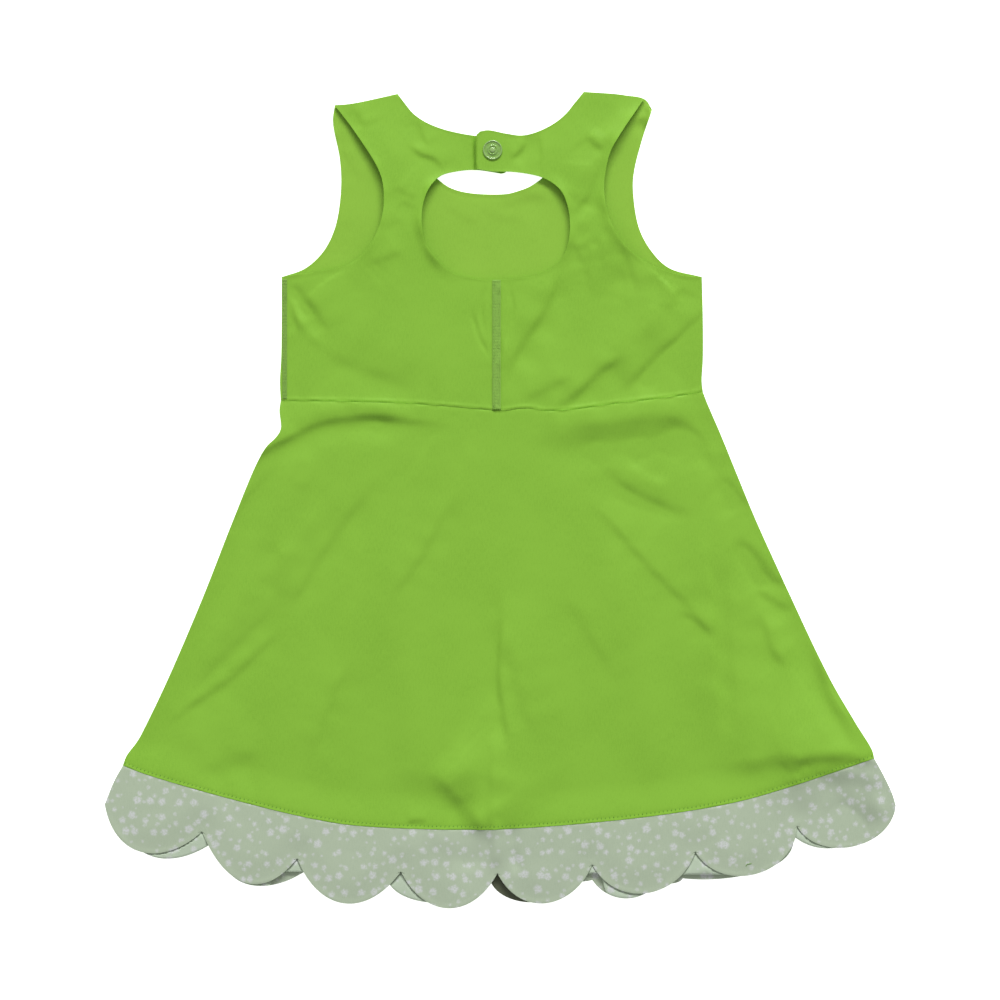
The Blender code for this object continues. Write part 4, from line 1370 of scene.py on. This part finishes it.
def sewn(name: str, slot: str, rows: Sequence[StitchRow]) -> bpy.types.Object:
    """Sews rows of stitches and joins them into one piece.

    Args:
        name: The piece's name.
        slot: Passed on to attach, which does not use it.
        rows: The rows.

    Returns:
        The piece.
    """
    points, faces = [], []
    for mesh in [row.sew() for row in rows]:
        start = len(points)
        points += [tuple(vertex.co) for vertex in mesh.vertices]
        faces += [tuple(start + index for index in face.vertices) for face in mesh.polygons]
    joint = bpy.data.meshes.new(name)
    joint.from_pydata(points, [], faces)
    joint.shade_smooth()
    joint.materials.append(rows[0].thread)
    piece = link(name, joint)
    attach(piece, slot)
    return piece


@dataclass
class Finishes:
    """The materials of the dress."""
    jersey: bpy.types.Material
    inner_jersey: bpy.types.Material
    hollow_print: bpy.types.Material
    blossom_print: bpy.types.Material
    pale_print: bpy.types.Material
    seam_thread: bpy.types.Material
    side_thread: bpy.types.Material
    hem_thread: bpy.types.Material
    plastic: bpy.types.Material

    @classmethod
    def make(cls) -> "Finishes":
        """Makes them all.

        Returns:
            The materials.
        """
        return cls(
            jersey=KnitFinish("lime_jersey", (0.238, 0.491, 0.040, 1.0), (0.189, 0.413, 0.027, 1.0)).make(),
            inner_jersey=KnitFinish("lime_jersey_inner", (0.262, 0.508, 0.046, 1.0),
                                    (0.212, 0.436, 0.033, 1.0)).make(),
            # Dark olive jersey laid under the hem's centre notch as painted shade of the deep hollow there
            hollow_print=KnitFinish("olive_painted_shade", (0.115, 0.130, 0.080, 1.0),
                                    (0.080, 0.092, 0.056, 1.0)).make(),
            blossom_print=PrintFinish("sage_blossom_print", (0.430, 0.512, 0.376, 1.0),
                                      (0.376, 0.458, 0.328, 1.0)).make(),
            pale_print=PrintFinish("mint_blossom_print", (0.465, 0.558, 0.425, 1.0),
                                   (0.42, 0.51, 0.38, 1.0)).make(),
            seam_thread=ThreadFinish("seam_thread", (0.27, 0.50, 0.08, 1.0), (0.22, 0.43, 0.055, 1.0)).make(),
            side_thread=ThreadFinish("side_thread", (0.25, 0.46, 0.075, 1.0), (0.19, 0.37, 0.05, 1.0)).make(),
            hem_thread=ThreadFinish("hem_thread", (0.16, 0.36, 0.030, 1.0), (0.12, 0.29, 0.022, 1.0)).make(),
            plastic=ClearPlasticFinish().make())


@dataclass
class Bodice:
    """The front bodice, the two backs, and the flat rows of stitches over their seams."""
    drape: Drape
    finishes: Finishes
    wall: float = 1.2
    seam_gap: float = 0.04
    shoulder_seam: Ramp = Ramp(268.0, 6.0)
    uncovered: Ramp = Ramp(0.0, 5.0)
    strip_width: float = 5.9
    strip_shift: float = 0.4
    strip_top: float = 153.8
    strip_bottom: float = 63.4
    strip_wall: float = 0.6
    strip_needles: tuple[float, ...] = (-2.1, -0.7, 0.7, 2.1)
    side_strip_width: float = 3.2
    side_strip_inset: float = 0.5
    side_strip_top: float = 154.6
    side_strip_bottom: float = 71.0
    side_strip_needles: tuple[float, ...] = (-1.0, 0.1, 1.1)

    def centre(self) -> list[Array]:
        """Gives the centre back seam from the waist up."""
        return [np.array((self.drape.centre_x, y)) for y in (62.5, 154.0)]

    def back_outline(self, side: Side) -> list[Array]:
        """Draws the outline of one of the backs.

        Args:
            side: Which back.

        Returns:
            The outline.
        """
        left = side is Side.LEFT
        corner = -1 if left else 0
        aside = np.array((0.5 * self.seam_gap * side.value, 0.0))
        low = shifted(through(WAIST_LEFT if left else WAIST_RIGHT), 0.0, 0.5 * self.seam_gap)
        keyhole = through(KEYHOLE_LEFT if left else KEYHOLE_RIGHT)
        low[corner] = low[corner] + aside
        keyhole[corner] = keyhole[corner] + aside
        centre = resampled([keyhole[corner], low[corner]], 2.0)
        if left:
            return joined(
                low[::-1], through(LEFT_SIDE_BODICE)[::-1][1:], through(BACK_ARMHOLE_LEFT),
                through(BACK_SHOULDER_LEFT), through(BACK_NECK_LEFT), through(UNDER_END), keyhole, centre)
        return joined(
            low, through(RIGHT_SIDE_BODICE)[::-1][1:], through(BACK_ARMHOLE_RIGHT)[::-1],
            through(BACK_SHOULDER_RIGHT)[::-1], through(BACK_NECK_RIGHT)[::-1], through(TAB_END)[::-1],
            keyhole[::-1], centre)

    def edges(self, side: Side) -> list[Part]:
        """Lists the edges and seams of one of the backs.

        Args:
            side: Which back.

        Returns:
            The edges and seams.
        """
        keyhole, armhole, neck, last = {
            Side.LEFT: (KEYHOLE_LEFT, BACK_ARMHOLE_LEFT, BACK_NECK_LEFT, UNDER_END),
            Side.RIGHT: (KEYHOLE_RIGHT, BACK_ARMHOLE_RIGHT, BACK_NECK_RIGHT, TAB_END)}[side]
        return [
            Part(through(keyhole), SOFT_EDGE, KEYHOLE_PUCKERS, 4.0),
            Part(through(armhole), FREE_EDGE, ARMHOLE_PUCKERS, 5.0),
            Part(through(neck), SOFT_EDGE, NECK_PUCKERS, 4.0),
            Part(through(last), FREE_EDGE),
            Part(waist_seam(), WAIST_PUFF, WAIST_PUCKERS, 6.0),
            Part(self.centre(), STRIP_EDGE, CENTRE_PUCKERS, 7.0)]

    def back_over(self, side: Side) -> Height:
        """Finds how high a back's upper side lies.

        Args:
            side: Which back.

        Returns:
            The height as a function of the place.
        """
        parts = self.edges(side)

        def height(points: Array) -> Array:
            """Adds the wall, the edges and, on the right, the tab's climb to the drape."""
            rise = self.drape.underside(points, BODICE_CREASES) + self.wall + edge_heights(parts, points)
            return rise + self.drape.tab(points) if side is Side.RIGHT else rise
        return height

    def back(self, side: Side) -> bpy.types.Object:
        """Lays one of the backs on the front.

        Args:
            side: Which back.

        Returns:
            The back.
        """
        over = self.back_over(side)
        node = "back_bodice_left" if side is Side.LEFT else "back_bodice_right"

        def under(points: Array) -> Array:
            """Keeps the wall's thickness, and closes down to the front at the shoulder seams.

            Args:
                points: Places on the back.

            Returns:
                Heights of its underside.
            """
            seam = self.shoulder_seam.at(points[:, 1])
            free = self.drape.under_wall(over(points), self.wall, points)
            return free * (1.0 - seam) + self.drape.bed * seam
        panel = ClothPanel(node + "_jersey", node, self.back_outline(side), under, over,
                           self.finishes.jersey, step=1.5, rings=(0.1, 0.5, 1.1, 1.8, 2.6, 3.5, 4.6),
                           roll=0.12)
        return panel.lay(["front_bodice_jersey"])

    def front_outline(self) -> list[Array]:
        """Draws the outline of the front bodice.

        Returns:
            The outline.
        """
        return joined(
            shifted(waist_seam(), 0.0, 0.5 * self.seam_gap), through(RIGHT_SIDE_BODICE)[::-1][1:],
            through(FRONT_ARMHOLE_RIGHT)[::-1], through(SHOULDER_RIGHT)[::-1], through(FRONT_NECK)[::-1],
            through(SHOULDER_LEFT)[::-1], through(FRONT_ARMHOLE_LEFT)[::-1], through(LEFT_SIDE_BODICE)[:-1])

    def front(self) -> bpy.types.Object:
        """Lays the front bodice face down, with its free edges and inner side creased.

        Returns:
            The front.
        """
        outlines = [self.back_outline(side) for side in Side]
        edges = [through(FRONT_ARMHOLE_LEFT), through(FRONT_ARMHOLE_RIGHT), through(FRONT_NECK)]

        def over(points: Array) -> Array:
            """Lies level under the back, and is free to crease where nothing lies on it.

            Args:
                points: Places on the dress.

            Returns:
                Heights of the inner side.
            """
            clear = np.full(len(points), np.inf)
            for outline in outlines:
                away = from_outline(outline, points)
                clear = np.minimum(clear, np.where(inside(outline, points), 0.0, away))
            relief = crease_heights(FRONT_CREASES, points) + INNER_WAVES.at(points)
            for edge in edges:
                relief += rim_heights(FREE_EDGE, nearest(edge, points).distance)
            return self.wall + relief * self.uncovered.at(clear)
        panel = ClothPanel("front_bodice_jersey", "front_bodice", self.front_outline(), face_down, over,
                           self.finishes.inner_jersey, step=2.6, rings=(0.1, 0.5, 1.1, 1.8, 2.8, 3.8),
                           roll=0.12)
        return panel.lay(["surface"])

    def strips(self) -> list[bpy.types.Object]:
        """Sews the flat rows over the centre back seam and the left side seam.

        Returns:
            Their beds and their threads.
        """
        left_over, right_over = self.back_over(Side.LEFT), self.back_over(Side.RIGHT)
        middle = self.drape.centre_x + self.strip_shift

        def centre_height(points: Array) -> Array:
            """Lies level across both backs.

            Args:
                points: Places on the strip.

            Returns:
                Heights of its underside.
            """
            heights = []
            for offset in (-3.0, -1.0, 1.0, 3.0):
                across = np.column_stack([np.full(len(points), middle + offset), points[:, 1]])
                heights += [left_over(across), right_over(across) - self.drape.tab(across)]
            return np.max(heights, axis=0) + 0.1
        half = 0.5 * self.strip_width
        left = LEFT_SIDE_BODICE[0].x + self.side_strip_inset
        return self.strip(
            "centre_back_seam", Box(middle - half, middle + half, self.strip_bottom, self.strip_top),
            centre_height, self.strip_needles, self.finishes.seam_thread) + self.strip(
            "left_side_seam", Box(left, left + self.side_strip_width, self.side_strip_bottom,
                                  self.side_strip_top),
            left_over, self.side_strip_needles, self.finishes.side_thread)

    def strip(self, node: str, box: Box, height: Height, needles: Sequence[float],
              thread: bpy.types.Material) -> list[bpy.types.Object]:
        """Sews one flat row of stitches.

        Args:
            node: Node that it stands for.
            box: Where it lies.
            height: Height of the cloth under it.
            needles: Places of its needle threads, from its middle.
            thread: The thread's material.

        Returns:
            The bed of thread, and the threads on it.
        """
        corners = [np.array(corner) for corner in (
            (box.left, box.bottom), (box.right, box.bottom), (box.right, box.top), (box.left, box.top))]
        outline = joined(*[resampled(ends, 1.4) for ends in zip(corners, corners[1:] + corners[:1])])

        def over(points: Array) -> Array:
            """Stands a wall's height above the cloth."""
            return height(points) + self.strip_wall
        bed = ClothPanel(node + "_bed", node, outline, height, over, thread, step=1.2,
                         rings=(0.3,), roll=0.7).build()
        attach(bed, node, node)
        ys = np.arange(box.bottom + 0.6, box.top - 0.4, 1.0)

        def path(x: float, lift: float) -> Array:
            """Runs up the bed at an x, a lift above it."""
            line = np.stack([np.full(len(ys), x), ys], axis=1)
            return np.column_stack([line, over(line) + lift])
        middle = 0.5 * (box.left + box.right)
        rows = [StitchRow(f"{node}_needle_{number}", path(middle + offset, 0.02), thread, 2.2, 2.3, 0.5,
                          seed=number) for number, offset in enumerate(needles)]
        cover = path(middle, -0.04)
        rows += [StitchRow(f"{node}_cover_{number}", cover, thread, 0.9, box.right - box.left - 0.3, 0.34,
                           turn=0.5 * math.pi + slant, seed=20 + number)
                 for number, slant in enumerate((0.16, -0.16))]
        return [bed, sewn(node + "_threads", node, rows)]

    def lay(self) -> list[bpy.types.Object]:
        """Lays the front, the two backs on it and the rows over their seams, and gives them all."""
        return [self.front(), *[self.back(side) for side in Side], *self.strips()]


def face_down(points: Array) -> Array:
    """Gives the height of the front's outer side, which rests on the surface between its creases."""
    return np.maximum(crease_heights(FACE_DOWN_CREASES, points) - 0.03, 0.0)


@dataclass
class Skirt:
    """The flared skirt, front and back, and the stitches along its lower edge."""
    drape: Drape
    finishes: Finishes
    seam_gap: float = 0.04
    wall: float = 1.2
    stitch_inset: float = 2.4
    stitch_pitch: float = 2.9
    stitch_length: float = 1.7
    stitch_turn: float = 0.42 * math.pi
    thread: float = 0.62

    def outline(self) -> list[Array]:
        """Draws the outline of the skirt, the same front and back.

        Returns:
            The outline.
        """
        return joined(
            shifted(waist_seam(), 0.0, -0.5 * self.seam_gap)[::-1], through(SKIRT_LEFT)[1:-1],
            shifted(through(HEM_SEAM), 0.0, 0.5 * self.seam_gap), through(SKIRT_RIGHT)[::-1][1:-1])

    def over(self, points: Array) -> Array:
        """Finds the height of the back skirt's upper side.

        Args:
            points: Places on the skirt.

        Returns:
            Heights above the surface.
        """
        parts = [
            Part(waist_seam(), WAIST_DIP, WAIST_PUCKERS, 6.0),
            Part(through(HEM_SEAM), HEM_LAP, HEM_PUCKERS, 5.0)]
        return self.drape.underside(points, SKIRT_CREASES) + self.wall + edge_heights(parts, points)

    def under(self, points: Array) -> Array:
        """Gives the height of the back skirt's underside."""
        return self.drape.under_wall(self.over(points), self.wall, points)

    def front_over(self, points: Array) -> Array:
        """Gives the height of the front skirt's inner side, which lies under the back."""
        return self.wall + 0.3 * np.minimum(face_down(points), 0.4)

    def stitches(self, name: str, slot: str, height: Height, seed: int) -> bpy.types.Object:
        """Sews the row along the lower edge.

        Args:
            name: The row's name.
            slot: Passed on, but not used.
            height: Height of the thread's middle.
            seed: Seed of the row.

        Returns:
            The row.
        """
        line = np.array(resampled(shifted(through(HEM_SEAM), 0.0, self.stitch_inset)[1:-1], 1.5))
        path = np.column_stack([line, height(line)])
        row = StitchRow(name, path, self.finishes.hem_thread, self.stitch_pitch, self.stitch_length,
                        self.thread, self.stitch_turn, seed)
        return sewn(name, slot, [row])

    def lay(self) -> list[bpy.types.Object]:
        """Lays the front skirt face down and the back skirt on it.

        Returns:
            The two skirts, each after its stitches.
        """
        low = self.stitches("front_hem_stitches", "front_skirt", lambda line: face_down(line) + 0.24, 3)
        front = ClothPanel("front_skirt_jersey", "front_skirt", self.outline(), face_down, self.front_over,
                           self.finishes.inner_jersey, step=4.0, rings=(0.3, 0.8, 2.0))
        pieces = [low, front.lay(["surface"], [low])]
        high = self.stitches("back_hem_stitches", "back_skirt", lambda line: self.over(line) + 0.02, 4)
        back = ClothPanel("back_skirt_jersey", "back_skirt", self.outline(), self.under, self.over,
                          self.finishes.jersey, step=2.1, rings=(0.1, 0.5, 1.1, 1.8, 2.5, 3.3, 4.2),
                          roll=0.12)
        return pieces + [high, back.lay(["front_skirt_jersey"], [high])]


class ShortStretch(NamedTuple):
    """A stretch where the facing's edge runs level, short of the band's, or drops away past a place."""
    left: float
    right: float
    level: float
    drop_from: float = math.inf


@dataclass
class HemBands:
    """The scalloped, printed bands below the skirt."""
    drape: Drape
    finishes: Finishes
    seam_gap: float = 0.04
    wall: float = 1.2
    facing_bed: float = 1.5
    facing_inset: float = 0.3
    edge_hold: float = 0.75
    edge_reach: Ramp = Ramp(0.0, 20.0)
    free_end: Ramp = Ramp(205.0, -20.0)
    free_fold: Spot = Spot(-12.0, 24.0)
    facing_lap: float = 0.9
    left_lap: float = 0.45
    left_lap_run: Ramp = Ramp(-195.0, -15.0)
    hollow: Spot = Spot(-72.0, -257.0)
    hollow_size: Spot = Spot(9.0, 8.0)
    hollow_depth: float = 1.5
    facing_folds: tuple[Crease, ...] = crease_table(
        (STEP, 0.35, 0.9, ((54, -261), (68, -261.3), (84, -261.5))),
        (STEP, 0.35, 0.9, ((122, -262), (138, -261.6), (152, -260))),
        (STEP, 0.3, 1.2, ((-206, -242), (-196, -240), (-186, -243))))
    short_stretches: tuple[ShortStretch, ...] = (
        ShortStretch(-160.0, -130.0, -260.0), ShortStretch(50.0, 74.0, -261.2, 68.0),
        ShortStretch(116.0, 170.0, -261.9))
    drop_run: float = 6.0
    drop: float = 14.0
    cut_from: float = -9.0
    cut_to: float = 19.0
    cut_out: tuple[Spot, ...] = spots((-6.0, -257.0), (-2.0, -254.0), (5.0, -256.0), (13.0, -267.0))
    tail: tuple[Spot, ...] = spots((171.9, -255.8), (172.2, -254.9), (172.9, -254.4), (175.4, -254.0))

    def seam(self) -> list[Array]:
        """Gives the bands' upper edge from left to right."""
        return shifted(through(HEM_SEAM), 0.0, -0.5 * self.seam_gap)

    def over(self, points: Array) -> Array:
        """Finds the height of the back band's printed side.

        Args:
            points: Places on the band.

        Returns:
            Heights above the surface.
        """
        edge = scallop_edge(BACK_SCALLOPS)
        parts = [
            Part(through(HEM_SEAM), BAND_TOP, HEM_PUCKERS, 5.0),
            Part(edge, SCALLOP_ROLL, SCALLOP_PUCKERS, 6.0)]
        rest = self.drape.resting(points)
        lift = self.drape.underside(points, SKIRT_CREASES) - rest
        near = nearest(edge, points).distance
        held = self.edge_hold * (1.0 - self.edge_reach.at(near)) * self.free_end.at(points[:, 0])
        lift *= 1.0 - held * (1.0 - bell((points[:, 0] - self.free_fold.x) / self.free_fold.y))
        return rest + lift + self.wall + edge_heights(parts, points)

    def under(self, points: Array) -> Array:
        """Gives the height of the back band's underside."""
        return self.drape.under_wall(self.over(points), self.wall, points)

    def facing_over(self, points: Array) -> Array:
        """Finds the height of the front facing's upper side.

        Args:
            points: Places on the facing.

        Returns:
            Heights above the surface.
        """
        near = nearest(scallop_edge(BACK_SCALLOPS), points)
        clear = smoothstep(np.where(near.side < 0.0, near.distance, 0.0) / 0.8)
        lap = self.facing_lap + self.left_lap * self.left_lap_run.at(points[:, 0])
        away = (points - np.array(self.hollow)) / np.array(self.hollow_size)
        lap = lap * clear - self.hollow_depth * np.exp(-np.sum(away ** 2, axis=1))
        return self.facing_bed + self.wall + lap + crease_heights(self.facing_folds, points, 0.2)

    def facing_edge(self) -> list[Array]:
        """Runs along the facing's lower edge, which stops short of the band's in four places.

        Returns:
            The edge from left to right.
        """
        edge = []
        for x, y in scallop_edge(FRONT_SCALLOPS, self.facing_inset)[2:-2]:
            for stretch in self.short_stretches:
                if stretch.left < x < stretch.right:
                    past = max(0.0, (x - stretch.drop_from) / self.drop_run)
                    y = max(y, stretch.level - self.drop * past ** 2)
            if self.cut_from < x < self.cut_to:
                continue
            if x >= self.cut_to and edge[-1][0] < 0.0:
                edge += [np.array(spot) for spot in self.cut_out]
            edge.append(np.array((x, y)))
        return edge

    def lay(self) -> list[bpy.types.Object]:
        """Lays the front band, its facing and the back band on each other.

        Returns:
            The bands from the lowest up, with the loose thread end before the back one.
        """
        outline = joined(self.seam()[::-1], through(BAND_END_LEFT)[1:-1], scallop_edge(FRONT_SCALLOPS),
                         through(BAND_END_RIGHT)[1:-5][::-1])
        # Its upper faces under the centre notch take the dark olive material, which is painted shade of the
        # hollow there
        front = ClothPanel("front_hem_band_print", "front_hem_band", outline, face_down,
                           lambda points: np.full(len(points), self.wall), self.finishes.blossom_print,
                           step=3.0, inner=self.finishes.hollow_print)
        pieces = [front.lay(["surface"])]
        outline = joined(self.seam()[::-1][2:-2], self.facing_edge())
        facing = ClothPanel("front_hem_facing_print", "front_hem_facing", outline,
                            lambda points: np.full(len(points), self.facing_bed), self.facing_over,
                            self.finishes.pale_print, step=1.9, rings=(0.3, 0.8, 1.6))
        pieces += [facing.lay(["front_hem_band_print"])]
        outline = joined(self.seam()[::-1], through(BAND_END_LEFT)[1:-1], scallop_edge(BACK_SCALLOPS),
                         through(BAND_END_RIGHT)[1:-1][::-1])
        line = np.array(resampled([np.array(spot) for spot in self.tail], 0.4))
        path = np.column_stack([line, self.over(line) + 0.15])
        tail = sewn("hem_thread_tail", "back_hem_band",
                    [StitchRow("hem_thread_tail", path, self.finishes.hem_thread, 0.4, 0.7, 0.42, seed=5)])
        back = ClothPanel("back_hem_band_print", "back_hem_band", outline, self.under, self.over,
                          self.finishes.blossom_print, step=1.9, rings=(0.1, 0.5, 1.1, 1.9, 2.9, 4.0),
                          roll=0.15, seams=(through(HEM_SEAM),))
        return pieces + [tail, back.lay(["front_hem_facing_print"], [tail])]


@dataclass
class RingSnap:
    """The ring snap that closes the neck band."""
    drape: Drape
    finishes: Finishes
    base: float = 6.12
    top: float = 1.42
    steps: int = 72
    profile: tuple[tuple[float, float], ...] = (
        (6.7, 0.0), (6.9, 0.2), (6.88, 0.6), (6.68, 0.98), (6.3, 1.15), (5.92, 0.98), (5.7, 0.7),
        (5.35, 0.6), (4.5, 0.56), (3.9, 0.6), (3.6, 0.8), (3.3, 1.06), (2.95, 1.14), (2.6, 0.98),
        (2.4, 0.7), (2.15, 0.68), (1.9, 0.9), (1.6, 1.3), (0.9, 1.42))

    def lay(self) -> list[bpy.types.Object]:
        """Presses the cap into the tab, and gives the socket under it the same plastic.

        Returns:
            The cap and the socket.
        """
        middle = self.drape.snap
        turns = [math.tau * step / self.steps for step in range(self.steps)]
        points = [(middle.x + radius * math.cos(turn), middle.y + radius * math.sin(turn), self.base + height)
                  for radius, height in self.profile for turn in turns]
        peak, foot = len(points), len(points) + 1
        points += [(middle.x, middle.y, self.base + self.top), (middle.x, middle.y, self.base)]
        faces = []
        for ring in range(len(self.profile) - 1):
            for step in range(self.steps):
                low = ring * self.steps + step
                beside = ring * self.steps + (step + 1) % self.steps
                faces.append((low, beside, beside + self.steps, low + self.steps))
        last = (len(self.profile) - 1) * self.steps
        for step in range(self.steps):
            after = (step + 1) % self.steps
            faces.append((last + step, last + after, peak))
            faces.append((after, step, foot))
        mesh = bpy.data.meshes.new("ring_snap_cap")
        mesh.from_pydata([tuple(MM * value for value in point) for point in points], [], faces)
        mesh.shade_smooth()
        mesh.materials.append(self.finishes.plastic)
        cap = link("ring_snap_cap", mesh)
        attach(cap, "snap_cap", "snap_cap")
        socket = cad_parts["snap_socket"]
        for slot in socket.material_slots:
            slot.material = self.finishes.plastic
        return [cap, socket]


@dataclass
class Studio:
    """The pale surface, the soft light from the shoulders' side, and the camera straight above."""
    height: float = 2.4
    view_width: float = 0.7
    floor_size: float = 8.0
    floor_drop: float = 0.1 * MM
    lamp_place: tuple[float, float, float] = (0.9, 6.95, 4.5)
    lamp_width: float = 6.6
    lamp_height: float = 1.8
    lamp_power: float = 815.0
    air_strength: float = 0.42

    def surface(self) -> None:
        """Lays the pale surface under the dress."""
        half = 0.5 * self.floor_size
        mesh = bpy.data.meshes.new("surface")
        mesh.from_pydata([(x, y, -self.floor_drop) for x, y in (
            (-half, -half), (half, -half), (half, half), (-half, half))], [], [(0, 1, 2, 3)])
        mesh.materials.append(SurfaceFinish().make())
        floor = link("surface", mesh)

    def light(self) -> None:
        """Hangs a wide soft light that shines on the middle of the dress, and fills the air with light."""
        lamp = bpy.data.lights.new("soft_light", "AREA")
        lamp.shape = "RECTANGLE"
        lamp.size = self.lamp_width
        lamp.size_y = self.lamp_height
        lamp.energy = self.lamp_power
        holder = link("soft_light", lamp)
        holder.location = self.lamp_place
        holder.rotation_euler = (-Vector(self.lamp_place)).to_track_quat("-Z", "Y").to_euler()
        world = bpy.data.worlds.new("studio_air")
        world.use_nodes = True
        air = world.node_tree.nodes["Background"]
        air.inputs["Color"].default_value = WHITE
        air.inputs["Strength"].default_value = self.air_strength
        bpy.context.scene.world = world

    def build(self) -> None:
        """Sets up everything that isn't part of the dress."""
        self.surface()
        self.light()
        lens = bpy.data.cameras.new("camera")
        lens.lens = lens.sensor_width * self.height / self.view_width
        camera = link("camera", lens)
        camera.location = (0.0, 0.0, self.height)
        scene = bpy.context.scene
        scene.view_settings.view_transform = "Standard"
        scene.camera = camera


def main() -> None:
    """Builds the dress in its studio, and reports each piece."""
    logging.basicConfig(level=logging.INFO, format="%(message)s")
    drape = Drape()
    finishes = Finishes.make()
    Studio().build()
    for assembly in (Bodice, Skirt, HemBands, RingSnap):
        for piece in assembly(drape, finishes).lay():
            LOG.info("%s: %d faces", piece.name, len(piece.data.polygons))


if __name__ == "__main__":
    main()
